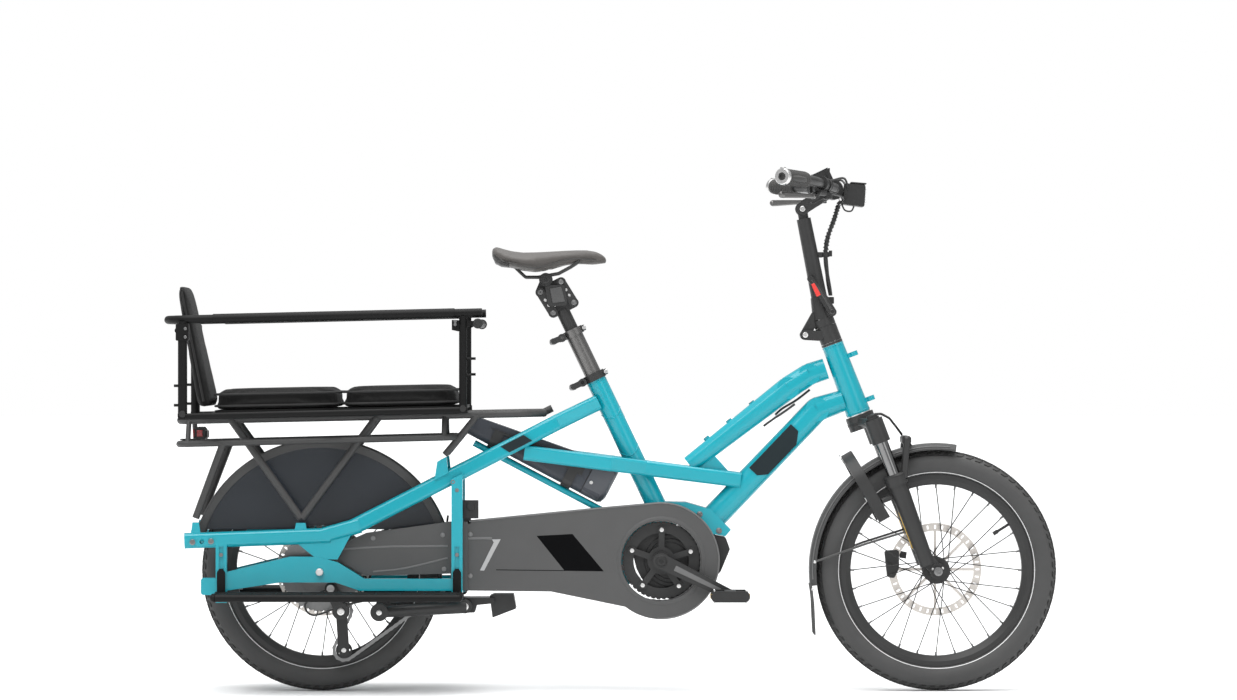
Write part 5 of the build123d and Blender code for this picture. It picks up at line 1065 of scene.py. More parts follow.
# ------------------------------------------------------------------ main frame
@dataclass
class FrameDress:
    """Decals, welds, caps and cables of the painted frame."""

    def build(self, rig: Rig) -> None:
        """Makes every piece on the painted frame."""
        self.decals()
        self.welds(rig)
        self.hoses(rig)
        self.battery()
        self.motor()

    def decals(self) -> None:
        """Plain dark panels on the down tube and the side tubes."""
        for side, word in ((-1, "right"), (1, "left")):
            panel = Shape()
            along = Vector((447 - 196, 0, 614 - 352)).normalized()
            square = Vector((-along.z, 0, along.x))
            base = side_point(196, 0, 352)
            rows = []
            for reach, low, high in ((168, -4, 20), (186, -20, 20), (276, -20, 20), (300, -2, 20)):
                middle = base + along * reach * MM
                rows.append((middle + square * low * MM, middle + square * high * MM))
            outline = [p for p, _ in rows] + [p for _, p in reversed(rows)]
            shift = LEFT * side * 26.9 * MM
            panel.plate([p + shift for p in outline], LEFT * side * 0.45 * MM)
            panel.piece("down_tube_panel_" + word, SLATE_DECAL, "frame", "frame_paint")
            patch = Shape()
            along = Vector((-566 + 125, 0, 358 - 584)).normalized()
            square = Vector((-along.z, 0, along.x))
            base = side_point(-205, side * 81.2, 542.5)
            corners = ((-30, 10), (26, 10), (38, -10), (-18, -10))
            patch.plate([base + along * a * MM + square * b * MM for a, b in corners], LEFT * side * 1.0 * MM)
            patch.piece("side_tube_patch_" + word, SLATE_DECAL, "frame", "frame_paint")

    def welds(self, rig: Rig) -> None:
        """Stacked beads where the tubes meet."""
        axis = rig.axis("steering_turn")
        beads = Shape()
        for up, radius in ((384.0, 26.6), (538.0, 23.4)):
            beads.tube(circle(rig.steer(0, 0, up), axis, radius * MM, 72), 1.3 * MM, 8, closed=True)
        seat_low, seat_top = side_point(89.9, 0, 416.0), side_point(-36.1, 0, 678.0)
        run = (seat_top - seat_low).normalized()
        beads.tube(circle(seat_low + run * 286.0 * MM, run, 22.0 * MM, 72), 1.0 * MM, 8, closed=True)
        for reach, size in ((118.0, 22.0), (208.0, 21.9)):
            points = []
            for number in range(73):
                angle = 2 * math.pi * number / 72
                first, second = across(run)
                wobble = 8.0 * math.cos(2 * angle)
                points.append(seat_low + run * (reach + wobble) * MM
                              + (first * math.cos(angle) + second * math.sin(angle)) * size * MM)
            beads.tube(points[:-1], 1.2 * MM, 8, closed=True)
        beads.piece("tube_welds", TEAL, "frame", "frame_paint")
        ring = Shape()
        ring.revolve(rig.steer(0, 0, 0), axis, [(23.1 * MM, 541.3 * MM), (23.9 * MM, 541.6 * MM), (23.9 * MM, 546.4 * MM),
                                               (23.1 * MM, 546.7 * MM)], 72)
        ring.piece("head_ring", SATIN_BLACK, "frame", "black_metal")
        window = Shape()
        window.revolve(rig.steer(0, 0, 0), axis, [(23.8 * MM, 542.4 * MM), (24.2 * MM, 542.4 * MM), (24.2 * MM, 545.8 * MM),
                                                 (23.8 * MM, 545.8 * MM)], 10, math.radians(50), math.radians(-115))
        window.piece("head_ring_window", STEEL, "frame", "steel")
        caps = Shape()
        for x, z in ((207, 549), (256, 587), (306, 626)):
            up = Vector((-(661 - 493), 0, 384 - 168)).normalized()
            caps.revolve(side_point(x, 0, z) + up * 5.0 * MM, up, [(3.4 * MM, 0), (6.8 * MM, 0), (6.4 * MM, 0.8 * MM),
                                                                  (3.4 * MM, 0.8 * MM)], 24)
        caps.piece("boss_washers", SATIN_BLACK, "frame", "black_metal")
        bolts = Shape()
        for side in (1, -1):
            for x, z in ((-910, 327.6), (-869.8, 329.4)):
                bolts.socket_bolt(side_point(x, side * 102.6, z), LEFT * side, 6.2 * MM, 2.4 * MM)
            for x, z in ((-337, 440), (-337, 300), (-337, 236), (-848, 236), (-848, 300)):
                bolts.disc(side_point(x, side * 99.8, z), LEFT * side, 4.2 * MM, 1.2 * MM, 0.4 * MM)
            bolts.socket_bolt(side_point(-346, side * 97.9, 458), LEFT * side, 5.0 * MM, 2.4 * MM)
        bolts.piece("side_tube_bolts", DARK_STEEL, "frame", "steel")

    def hoses(self, rig: Rig) -> None:
        """Brake and gear hoses along the tubes."""
        hoses = Shape()
        down = [side_point(x, y, z) for x, y, z in ((356, 14, 602), (372, 15, 616), (402, 17, 634), (432, 18, 657))]
        hoses.tube(smooth_path(down), 2.5 * MM, 10)
        second = [side_point(x, y, z) for x, y, z in ((330, -13, 578), (352, -15, 594), (376, -16, 610), (398, -16, 626))]
        hoses.tube(smooth_path(second), 2.5 * MM, 10)
        gear = [side_point(x, y, z) for x, y, z in ((-345, -71, 214), (-420, -71, 210), (-500, -71, 205),
                                                    (-580, -71, 190), (-648, -73, 168), (-668, -74, 190),
                                                    (-640, -74.5, 214), (-622, -74, 222))]
        hoses.tube(smooth_path(gear), 2.3 * MM, 10)
        brake = [side_point(x, y, z) for x, y, z in ((-520, 67, 262), (-470, 70, 276), (-410, 71, 300),
                                                     (-372, 70, 330), (-362, 68, 380))]
        hoses.tube(smooth_path(brake), 2.4 * MM, 10)
        hoses.piece("frame_hoses", CABLE, "frame", "rubber")

    def battery(self) -> None:
        """The battery's end cap, seam and bolt."""
        lean = math.radians(27.8)
        along = Vector((-math.cos(lean), 0, math.sin(lean)))
        square = Vector((math.sin(lean), 0, math.cos(lean)))
        low = side_point(-10, 0, 452)

        def ring(reach: float, half_y: float, half_up: float, corner: float) -> list[Vector]:
            """A rounded section of the battery."""
            row = []
            for i in range(32):
                a = 2 * math.pi * i / 32
                y = half_y * math.copysign(abs(math.cos(a)) ** corner, math.cos(a))
                up = half_up * math.copysign(abs(math.sin(a)) ** corner, math.sin(a))
                up = min(up, 43.4 - 0.146 * max(reach, 0.0))
                row.append(low + along * reach * MM + LEFT * y * MM + square * up * MM)
            return row

        cap = Shape()
        cap.loft([ring(-9, 28, 32, 0.6), ring(-4, 38, 43, 0.45), ring(4, 42.6, 46.8, 0.36), ring(44, 42.8, 47.0, 0.36)])
        cap.piece("battery_end_cap", GREY_CASE, "frame", "dark_plastic")
        seam = Shape()
        seam.tube([p for p in ring(46, 42.4, 46.6, 0.36)], 0.9 * MM, 8, closed=True)
        seam.piece("battery_seam", TRIM_BLACK, "frame", "dark_plastic")
        bolt = Shape()
        bolt.socket_bolt(low + along * 34 * MM - LEFT * 42.6 * MM - square * 14 * MM, -LEFT, 4.0 * MM, 2.0 * MM)
        bolt.piece("battery_bolt", STEEL, "frame", "steel")

    def motor(self) -> None:
        """The motor's ribbed cover and bolts."""
        ribs = Shape()
        for sign in (1, -1):
            for radius in (40.0, 48.0, 56.0):
                ribs.tube(circle(side_point(125, sign * (44.3 if sign > 0 else 40.2), 285), LEFT, radius * MM, 72),
                          1.2 * MM, 8, closed=True)
        ribs.piece("motor_cover_rings", TRIM_BLACK, "frame", "black_metal")
        bolts = Shape()
        for x, z in ((22, 270), (20, 345), (64, 384), (190, 386), (232, 350)):
            for sign in (1, -1):
                bolts.disc(side_point(x, sign * 36.8, z), LEFT * sign, 6.5 * MM, 1.4 * MM, 0.4 * MM)
                bolts.socket_bolt(side_point(x, sign * 38.0, z), LEFT * sign, 4.4 * MM, 2.4 * MM)
        bolts.piece("cradle_bolts", DARK_STEEL, "frame", "steel")


GREY_CASE = Finish("battery_cap_grey", (0.060, 0.064, 0.074), (0.076, 0.081, 0.092), 0.42, effect_size=1300.0,
                   bump=0.12)


# ------------------------------------------------------------------ soft goods
def islands(node: bpy.types.Object) -> list[tuple[Vector, Vector]]:
    """The boxes of a node's separate solids, from the back of the bicycle forward."""
    work = bmesh.new()
    work.from_mesh(node.data)
    bmesh.ops.remove_doubles(work, verts=work.verts, dist=1e-6)
    left = set(work.verts)
    boxes = []
    while left:
        stack, group = [left.pop()], []
        while stack:
            point = stack.pop()
            group.append(point.co.copy())
            for edge in point.link_edges:
                other = edge.other_vert(point)
                if other in left:
                    left.discard(other)
                    stack.append(other)
        boxes.append((Vector(map(min, zip(*group))), Vector(map(max, zip(*group)))))
    work.free()
    return sorted(boxes, key=lambda pair: pair[0].x)


@dataclass
class Cushion:
    """A stuffed piece: a plain form that is remeshed, blown up by cloth and smoothed."""

    name: str
    finish: Finish
    body: str
    slot: str
    voxel: float = 0.006
    swell: float = 0.006
    pressure: float = 4.0
    fill: float = 0.75

    def stuff(self, shape: Shape, seat: Vector, up: Vector, node: str) -> bpy.types.Object:
        """Makes the cushion from its rough form.

        Args:
            shape: The rough closed form, a little smaller than the cushion.
            seat: A point on the face that the cushion rests on.
            up: The way out of that face.
            node: The solid that the cushion stands for.

        Returns:
            The finished cushion.
        """
        piece = shape.piece(self.name, self.finish, self.body, self.slot)
        bpy.context.view_layer.objects.active = piece
        mesher = piece.modifiers.new("even_mesh", "REMESH")
        mesher.mode = "VOXEL"
        mesher.voxel_size = self.voxel
        mesher.use_smooth_shade = True
        self.settle(piece)
        rest = [v.co.copy() for v in piece.data.vertices]
        self.blow(piece, rest, seat, up)
        rounder = piece.modifiers.new("round_off", "SUBSURF")
        rounder.levels = rounder.render_levels = 1
        piece.data.polygons.foreach_set("use_smooth", [True] * len(piece.data.polygons))
        piece.data.materials.clear()
        piece.data.materials.append(self.finish.material())
        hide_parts(node)
        return piece

    @staticmethod
    def settle(piece: bpy.types.Object) -> None:
        """Keeps the result of the piece's modifiers as its mesh."""
        graph = bpy.context.evaluated_depsgraph_get()
        made = bpy.data.meshes.new_from_object(piece.evaluated_get(graph))
        piece.modifiers.clear()
        piece.data = made

    def blow(self, piece: bpy.types.Object, rest: list[Vector], seat: Vector, up: Vector) -> None:
        """Runs the cloth under pressure, with the resting face held, and caps how far each point may go."""
        held = piece.vertex_groups.new(name="held")
        low = min((p - seat).dot(up) for p in rest)
        held.add([i for i, p in enumerate(rest) if (p - seat).dot(up) < low + 0.004], 1.0, "REPLACE")
        cloth = piece.modifiers.new("stuffing", "CLOTH")
        cloth.settings.vertex_group_mass = "held"
        cloth.settings.use_pressure = True
        cloth.settings.uniform_pressure_force = self.pressure
        cloth.settings.effector_weights.gravity = 0.0
        cloth.settings.quality = 4
        scene = bpy.context.scene
        for frame in range(1, 21):
            scene.frame_set(frame)
        graph = bpy.context.evaluated_depsgraph_get()
        blown = [v.co.copy() for v in piece.evaluated_get(graph).data.vertices]
        piece.modifiers.clear()
        for vertex, start, end in zip(piece.data.vertices, rest, blown):
            move = end - start
            vertex.co = start + (move.normalized() * min(move.length, self.swell) if move.length else move)
        piece.vertex_groups.clear()
        scene.frame_set(1)
        piece.data.update()


@dataclass
class Bench:
    """The two seat pads and the back pad of the passenger bench."""

    slope: float = 1.157
    inset: float = 0.0035
    piping: float = 0.0024

    def build(self, nodes: dict[str, bpy.types.Object]) -> None:
        """Makes the three pads with their piping."""
        back, rear, front = islands(nodes["seat_pads"])
        lean = Matrix.Rotation(-math.radians(self.slope), 3, "Y")
        for name, (lo, hi) in (("rear_seat_pad", rear), ("front_seat_pad", front)):
            self.flat_pad(name, lo, hi, lean)
        self.back_pad(back)

    def flat_pad(self, name: str, lo: Vector, hi: Vector, lean: Matrix) -> None:
        """A crowned pad on the deck, with piping round its top edge."""
        middle = (lo + hi) / 2
        rise = abs(math.sin(math.radians(self.slope))) * (hi.x - lo.x)
        half = Vector(((hi.x - lo.x) / 2 - self.inset, (hi.y - lo.y) / 2 - self.inset, (hi.z - lo.z - rise) / 2))
        up = lean @ UP

        def ring(share: float, level: float) -> list[Vector]:
            """A rounded rectangle at a height."""
            row = []
            for i in range(64):
                a = 2 * math.pi * i / 64
                x = half.x * share * math.copysign(abs(math.cos(a)) ** 0.22, math.cos(a))
                y = half.y * share * math.copysign(abs(math.sin(a)) ** 0.22, math.sin(a))
                row.append(middle + lean @ Vector((x, y, level)))
            return row

        base = -half.z + 0.0015
        top = half.z - 0.0030
        shape = Shape()
        shape.loft([ring(0.992, base), ring(1.0, base + 0.005), ring(1.0, top - 0.008), ring(0.994, top - 0.003),
                    ring(0.975, top), ring(0.5, top + 0.001)])
        cushion = Cushion(name, PAD, "frame", "pad_fabric", voxel=0.005, swell=0.005)
        cushion.stuff(shape, middle + lean @ Vector((0, 0, -half.z)), up, "seat_pads")
        for word, level in (("top", top - 0.006), ("low", base + 0.007)):
            edge = Shape()
            grow = 1.0 + 0.004 / half.x
            edge.tube(ring(grow, level), self.piping, 8, closed=True)
            edge.piece(name + "_piping_" + word, PIPING, "frame", "pad_fabric")

    def back_pad(self, box: tuple[Vector, Vector]) -> None:
        """The leaning back pad."""
        lo, hi = box
        foot = Vector((-0.8815, 0, 0.6164))
        up = Vector((-56, 0, 275)).normalized()
        out = up.cross(LEFT).normalized()
        length = 0.277
        half_y = hi.y - self.inset

        def ring(share: float, wide: float, thick: float) -> list[Vector]:
            """A section across the pad at a share of its height."""
            row = []
            for i in range(64):
                a = 2 * math.pi * i / 64
                y = wide * math.copysign(abs(math.cos(a)) ** 0.3, math.cos(a))
                x = thick * math.copysign(abs(math.sin(a)) ** 0.55, math.sin(a))
                row.append(foot + up * length * share + LEFT * y + out * x)
            return row

        shape = Shape()
        rows = ((0.02, 0.965, 0.010), (0.06, 1.0, 0.0125), (0.5, 0.95, 0.0105), (0.90, 0.90, 0.0085),
                (0.955, 0.87, 0.0080), (0.985, 0.80, 0.0060))
        shape.loft([ring(share, half_y * wide, thick) for share, wide, thick in rows])
        cushion = Cushion("back_pad", PAD, "frame", "pad_fabric", swell=0.004)
        cushion.stuff(shape, foot, up, "seat_pads")
        edge = Shape()
        path = []
        for share, wide in ((0.06, 1.0), (0.3, 0.975), (0.5, 0.95), (0.75, 0.92), (0.90, 0.90), (0.945, 0.862),
                            (0.966, 0.79)):
            path.append(foot + up * length * share + LEFT * half_y * (wide + 0.012))
        mirrored = [Vector((p.x, -p.y, p.z)) for p in reversed(path)]
        edge.tube(smooth_path([*path, *mirrored], 6), self.piping, 8)
        edge.piece("back_pad_piping", PIPING, "frame", "pad_fabric")


@dataclass
class Saddle:
    """The rider's saddle: a padded shell with a lifted tail."""

    rows: tuple[tuple[float, float, float, float], ...] = (
        (-261.0, 30.0, 965.0, 947.0), (-254.0, 46.0, 969.0, 933.0), (-239.0, 61.0, 963.0, 927.0),
        (-220.0, 69.0, 958.0, 924.0), (-196.0, 72.0, 955.0, 917.0), (-168.0, 69.0, 955.5, 914.0),
        (-147.0, 57.0, 956.5, 917.0), (-120.0, 41.0, 958.0, 926.0), (-103.0, 33.0, 959.0, 931.0),
        (-80.0, 27.0, 960.0, 934.0), (-56.0, 23.0, 960.0, 933.0), (-36.0, 20.0, 957.0, 932.0),
        (-22.0, 16.0, 950.5, 931.0), (-13.5, 9.0, 942.0, 932.0))

    def build(self) -> None:
        """Makes the cover, the tail shell and the side seams."""
        lo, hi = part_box("saddle")
        rings = [self.section(x * MM, half * MM, top * MM, low * MM) for x, half, top, low in self.rows]
        shape = Shape().loft(rings)
        cushion = Cushion("saddle_cushion", SADDLE, "saddle", "saddle_cover", voxel=0.004, swell=0.002, pressure=2.0,
                          fill=0.9)
        cushion.stuff(shape, Vector((0, 0, lo.z)), UP, "saddle")
        tail = Shape()
        tail.loft([self.section(x * MM, half * MM, top * MM, low * MM) for x, half, top, low in (
            (-262.5, 26.0, 962.0, 947.0), (-256.0, 44.0, 964.0, 932.0), (-243.0, 58.0, 951.0, 925.5),
            (-226.0, 67.0, 936.0, 923.5))])
        tail.piece("saddle_tail_shell", SADDLE_TAIL, "saddle", "saddle_cover")
        seam = Shape()
        for side in (1, -1):
            line = [Vector((x, side * (half + 0.6), low + 9.0)) * MM for x, half, _, low in self.rows[2:-2]]
            seam.tube(smooth_path(line, 6), 0.0011, 8)
        seam.piece("saddle_cover_seam", SADDLE_TAIL, "saddle", "saddle_cover")
        log.info("saddle box %s to %s", tuple(lo), tuple(hi))

    @staticmethod
    def section(x: float, half: float, high: float, low: float) -> list[Vector]:
        """One section across the saddle: a soft crown and sides that curl under."""
        row = []
        middle = low + (high - low) * 0.42
        for i in range(40):
            a = 2 * math.pi * i / 40
            y = half * math.copysign(abs(math.cos(a)) ** 0.75, math.cos(a))
            if math.sin(a) >= 0:
                z = middle + (high - middle) * abs(math.sin(a)) ** 0.8
            else:
                z = middle - (middle - low) * abs(math.sin(a)) ** 0.6
                y *= 0.94
            row.append(Vector((x, y, z)))
        return row


# ------------------------------------------------------------------ seat post and suspension
@dataclass
class SeatDress:
    """Bolts, clamp lugs and painted glints of the seat post and its linkage."""

    def build(self, rig: Rig) -> None:
        """Makes the pieces of the linkage and the posts."""
        for joint, body, radius in (("seat_link_rear", "seatpost_inner", 6.2), ("seat_link_front", "seatpost_inner", 6.2),
                                    ("saddle_level", "saddle", 6.2)):
            bolt = Shape()
            place = rig.pivot(joint)
            bolt.disc(Vector((place.x, -21.6 * MM, place.z)), -LEFT, radius * MM, 2.2 * MM, 0.6 * MM)
            bolt.socket_bolt(Vector((place.x, -23.6 * MM, place.z)), -LEFT, 4.2 * MM, 2.0 * MM)
            bolt.piece("pivot_bolt_" + joint, DARK_STEEL, body, "steel")
        clamp = Shape()
        clamp.disc(side_point(-145.7, -29.0, 897.7), -LEFT, 12.5 * MM, 2.0 * MM, 0.8 * MM, 32)
        clamp.socket_bolt(side_point(-145.7, -30.8, 897.7), -LEFT, 8.5 * MM, 2.6 * MM)
        clamp.piece("rail_clamp_cap", SATIN_BLACK, "saddle", "black_metal")
        front_bolt = Shape()
        shift = Vector((-27.8, 0, 45.1)) * MM
        place = rig.pivot("seat_link_front") + shift
        front_bolt.socket_bolt(Vector((place.x, -25.4 * MM, place.z)), -LEFT, 5.4 * MM, 2.2 * MM)
        front_bolt.piece("front_upper_pivot_bolt", DARK_STEEL, "saddle", "steel")
        cover = Shape()
        corners = [(-137, 878), (-112, 882), (-103, 850), (-131, 846)]
        cover.plate([side_point(x, -26.8, z) for x, z in corners], -LEFT * 2.2 * MM)
        cover.piece("linkage_cover_panel", CASE_GREY, "saddle", "black_plastic", bevel=0.0012)
        # Small steel blocks and discs on the near face of each black link: painted highlights that stand in for glints.
        for name, joint in (("rear", "seat_link_rear"), ("front", "seat_link_front")):
            glint = Shape()
            pivot = rig.pivot(joint)
            for share, size in ((0.36, 3.0), (0.62, 3.4)):
                place = pivot + shift * share
                glint.block(Vector((place.x, -21.2 * MM, place.z)), shift.normalized(), UP.cross(LEFT),
                            (0.007, 0.0022, 0.0022))
                glint.disc(Vector((place.x, -21.0 * MM, place.z)), -LEFT, size * MM, 1.2 * MM, 0.4 * MM, 12)
            glint.piece("link_painted_glints_" + name, STEEL, "link_" + name, "steel")
        for name, joint, body in (("upper", "upper_clamp_open", "seatpost_outer"), ("lower", "lower_clamp_open", "frame")):
            axis = rig.axis("seatpost_slide")
            pin = rig.pivot(joint)
            out = Vector((axis.z, 0, -axis.x))
            forward = pin + out * (0.056 if name == "lower" else 0.053)
            lug = Shape()
            lug.block(forward - out * 4.0 * MM, axis, LEFT, (0.013, 0.020, 0.014))
            lug.piece(name + "_clamp_front_lug", SATIN_BLACK, body, "black_metal", bevel=0.0015)
            nut = Shape()
            nut.socket_bolt(Vector((forward.x, -10.0 * MM, forward.z)), -LEFT, 4.6 * MM, 3.0 * MM)
            nut.piece(name + "_clamp_nut", STEEL, body, "steel")


# ------------------------------------------------------------------ cockpit
@dataclass
class Cockpit:
    """The handlebar post, the bar and everything on them."""

    bundle: float = 5.4

    def build(self, rig: Rig) -> None:
        """Makes the pieces of the post and the bar."""
        self.post(rig)
        self.cable_bundle()
        self.bar()
        self.lamp()
        self.display()

    def post(self, rig: Rig) -> None:
        """The latch's red catch, the hinge bolts and the stem bolts."""
        catch = Shape()
        latch = rig.pivot("latch_open")
        start, end = side_point(437, -31.4, 889), side_point(450, -31.4, 862)
        run = (end - start).normalized()
        square = LEFT.cross(run)
        catch.plate([start + square * 4.5 * MM, end + square * 5.2 * MM, end - square * 5.2 * MM,
                     start - square * 4.5 * MM], -LEFT * -2.0 * MM)
        catch.piece("latch_red_catch", RED_CATCH, "latch", "gloss_black", bevel=0.0012)
        hinge = Shape()
        pivot = rig.pivot("post_fold")
        hinge.socket_bolt(Vector((pivot.x, -21.0 * MM, pivot.z)), -LEFT, 6.0 * MM, 2.6 * MM)
        hinge.socket_bolt(Vector((pivot.x, 21.0 * MM, pivot.z)), LEFT, 6.0 * MM, 2.6 * MM)
        hinge.piece("post_hinge_bolts", STEEL, "steering", "steel")
        lever = Shape()
        lever.socket_bolt(Vector((latch.x, -31.0 * MM, latch.z)), -LEFT, 5.6 * MM, 2.2 * MM)
        spine = smooth_path([side_point(477, -30.6, 832), side_point(462, -31.0, 858), side_point(447, -30.6, 882),
                             side_point(434, -29.4, 898)], 8)
        lever.tube(spine, 2.6 * MM, 10, flat=0.5)
        lever.piece("latch_spine", GLOSS_BLACK, "latch", "gloss_black")
        stem = Shape()
        tilt = rig.pivot("stem_tilt")
        for side in (1, -1):
            stem.socket_bolt(Vector((tilt.x, side * 21.2 * MM, tilt.z)), LEFT * side, 6.0 * MM, 3.0 * MM)
        for x, z in ((497, 1076), (466, 1112)):
            for side in (1, -1):
                stem.socket_bolt(side_point(x, side * 15, z), Vector((x - 482, 0, z - 1094)).normalized(), 4.0 * MM,
                                 6.0 * MM)
        stem.piece("stem_bolts", STEEL, "stem", "steel")

    def cable_bundle(self) -> None:
        """Four hoses in a spiral wrap, with the clip that holds them, and their fan up to the bar."""
        line = smooth_path([side_point(x, y, z) for x, y, z in (
            (494, 0, 1061), (484, 0, 1028), (470.5, 0, 990), (465.8, 0, 951), (470, 0, 905), (476.8, 0, 863))], 14)
        core = Shape()
        for number in range(4):
            angle = math.pi / 2 * number
            strand = []
            for step, place in enumerate(line):
                turn = angle + step * 0.10
                strand.append(place + Vector((math.cos(turn), math.sin(turn), 0)) * 2.6 * MM)
            core.tube(strand, 2.3 * MM, 8)
        bend = Bend("stem", side_point(470.5, 0, 985), side_point(492, 0, 1052))
        hoses = core.piece("cable_bundle", CABLE, "handlepost", "rubber", bend=bend)
        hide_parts("cockpit_cables")
        wrap = Shape()
        coil = []
        upper = line[:int(len(line) * 0.62)]
        turns = 15
        steps = turns * 14
        for step in range(steps + 1):
            t = step / steps * (len(upper) - 1)
            place = upper[int(t)].lerp(upper[min(int(t) + 1, len(upper) - 1)], t % 1)
            turn = 2 * math.pi * turns * step / steps
            coil.append(place + Vector((math.cos(turn), math.sin(turn), 0)) * 5.3 * MM)
        wrap.tube(coil, 1.5 * MM, 6, flat=0.6)
        wrap.piece("cable_spiral_wrap", TRIM_BLACK, "handlepost", "rubber", bend=bend)
        clip = Shape()
        clip.revolve(side_point(465.6, 0, 947), UP, [(6.0 * MM, 0), (8.4 * MM, 0), (8.4 * MM, 11 * MM), (6.0 * MM, 11 * MM)],
                     28)
        clip.block(side_point(476.5, 0, 955), UP, LEFT, (0.013, 0.010, 0.007))
        clip.piece("cable_clip", TRIM_BLACK, "handlepost", "black_plastic", bevel=0.0006)
        fan = Shape()
        for side in (1, -1):
            for inner, points in enumerate((
                    ((494, 2, 1063), (505, 24, 1070), (497, 70, 1078), (470, 130, 1082), (447, 186, 1084)),
                    ((492, -1, 1064), (512, 20, 1086), (505, 60, 1116), (478, 104, 1112), (458, 150, 1106)))):
                shift = 1.2 * inner
                fan.tube(smooth_path([side_point(x, side * (y + shift), z) for x, y, z in points], 10), 2.4 * MM, 10)
        lamp_lead = ((500, 0, 1066), (508, 4, 1050), (522, 6, 1048), (528, 4, 1058))
        fan.tube(smooth_path([side_point(*p) for p in lamp_lead], 8), 1.8 * MM, 8)
        fan.piece("bar_hoses", CABLE, "stem", "rubber")

    def bar(self) -> None:
        """Grip ribs, silver end clamps, lever clamps and the shifter."""
        for side, word in ((-1, "right"), (1, "left")):
            end, knee = side_point(364.6, side * 330, 1111.7), side_point(433, side * 220, 1105.5)
            run = (knee - end).normalized()
            ribs = Shape()
            for number in range(11):
                reach = 8 + number * 7.0
                ribs.revolve(end + run * reach * MM, run, [(16.2 * MM, 0), (17.6 * MM, 0.8 * MM), (17.6 * MM, 3.0 * MM),
                                                          (16.2 * MM, 3.8 * MM)], 36)
            ribs.piece("grip_ribs_" + word, RUBBER, "stem", "rubber")
            wing = Shape()
            rings = []
            for reach, wide, thick, drop in ((2, 6, 5, 15), (12, 15, 6.5, 17), (36, 18, 7, 19), (60, 13, 6.5, 18),
                                             (78, 6, 5, 15)):
                first = run.cross(UP).normalized() * -side
                centre = end + run * reach * MM + first * (drop - 6) * MM - UP * 2.0 * MM
                rings.append([centre + first * math.cos(a) * wide * MM * 0.7 + UP * math.sin(a) * thick * MM
                              for a in (2 * math.pi * i / 20 for i in range(20))])
            wing.loft(rings)
            wing.piece("grip_wing_" + word, RUBBER, "stem", "rubber")
            cap = Shape()
            cap.revolve(end - run * 9.4 * MM, run, [(8.0 * MM, -0.6 * MM), (16.2 * MM, -0.6 * MM), (18.0 * MM, 1.0 * MM),
                                                   (18.0 * MM, 9.2 * MM), (17.0 * MM, 9.9 * MM), (8.0 * MM, 9.9 * MM)], 40)
            cap.block(end - run * 4.5 * MM + UP * 17.6 * MM, run, run.cross(UP), (0.009, 0.010, 0.004))
            cap.piece("grip_end_clamp_" + word, STEEL, "stem", "steel", bevel=0.0005)
            plug = Shape()
            plug.socket_bolt(end - run * 9.0 * MM, -run, 8.4 * MM, 2.4 * MM)
            plug.piece("grip_end_plug_" + word, TRIM_BLACK, "stem", "black_plastic")
            inner = side_point(482, side * 96, 1094)
            inward = (inner - knee).normalized()
            mount = knee + inward * 46 * MM
            bands = Shape()
            for reach, radius, wide in ((-7.4, 16.6, 3.0), (4.4, 16.6, 3.0), (20.4, 15.6, 2.4), (31.0, 15.6, 2.4)):
                bands.revolve(mount + inward * reach * MM, inward,
                              [(radius * MM - 1.0 * MM, 0), (radius * MM, 0), (radius * MM, wide * MM),
                               (radius * MM - 1.0 * MM, wide * MM)], 40)
            bands.piece("bar_clamp_bands_" + word, TRIM_BLACK, "stem", "black_plastic", bevel=0.0004)
            pod = Shape()
            pod.disc(mount + inward * 27 * MM - UP * 30 * MM, UP, 15.0 * MM, 15.0 * MM, 3.0 * MM, 32)
            pod.block(mount + inward * 27 * MM - UP * 26 * MM + Vector((-0.018, side * 0.012, -0.006)), Vector((-1, 0, -0.5)),
                      LEFT, (0.030, 0.012, 0.006))
            pod.piece("shifter_pod_" + word, TRIM_BLACK, "stem", "black_plastic", bevel=0.0012)

    def lamp(self) -> None:
        """The headlamp's hood, lens and lens bars."""
        lo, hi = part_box("headlight")
        lens = Shape()
        face = [(551.6, 1098), (549.2, 1060)]
        normal = Vector((38, 0, -2.4)).normalized()
        outline = []
        for x, z in face:
            outline.append((x, z))
        half = 26.0
        corners = [side_point(face[0][0], -half, face[0][1] - 2), side_point(face[0][0], half, face[0][1] - 2),
                   side_point(face[1][0], half, face[1][1]), side_point(face[1][0], -half, face[1][1])]
        lens.plate(corners, normal * 1.6 * MM)
        lens.piece("headlamp_lens", CLEAR_LENS, "stem", "black_plastic", bevel=0.0008)
        bars = Shape()
        for number in range(5):
            z = lo.z + (hi.z - lo.z) * (0.2 + 0.13 * number)
            bars.block(Vector((hi.x + 1.2 * MM, 0, z)), LEFT, UP, (0.050, 0.0016, 0.0016))
        bars.piece("headlamp_lens_bars", CLEAR_LENS, "stem", "black_plastic")
        hood = Shape()
        hood.block(Vector(((lo.x + hi.x) / 2 + 0.012, 0, hi.z + 0.0004)), Vector((1, 0, -0.08)), LEFT,
                   (0.034, 0.060, 0.0030))
        hood.piece("headlamp_hood", TRIM_BLACK, "stem", "black_plastic", bevel=0.0010)

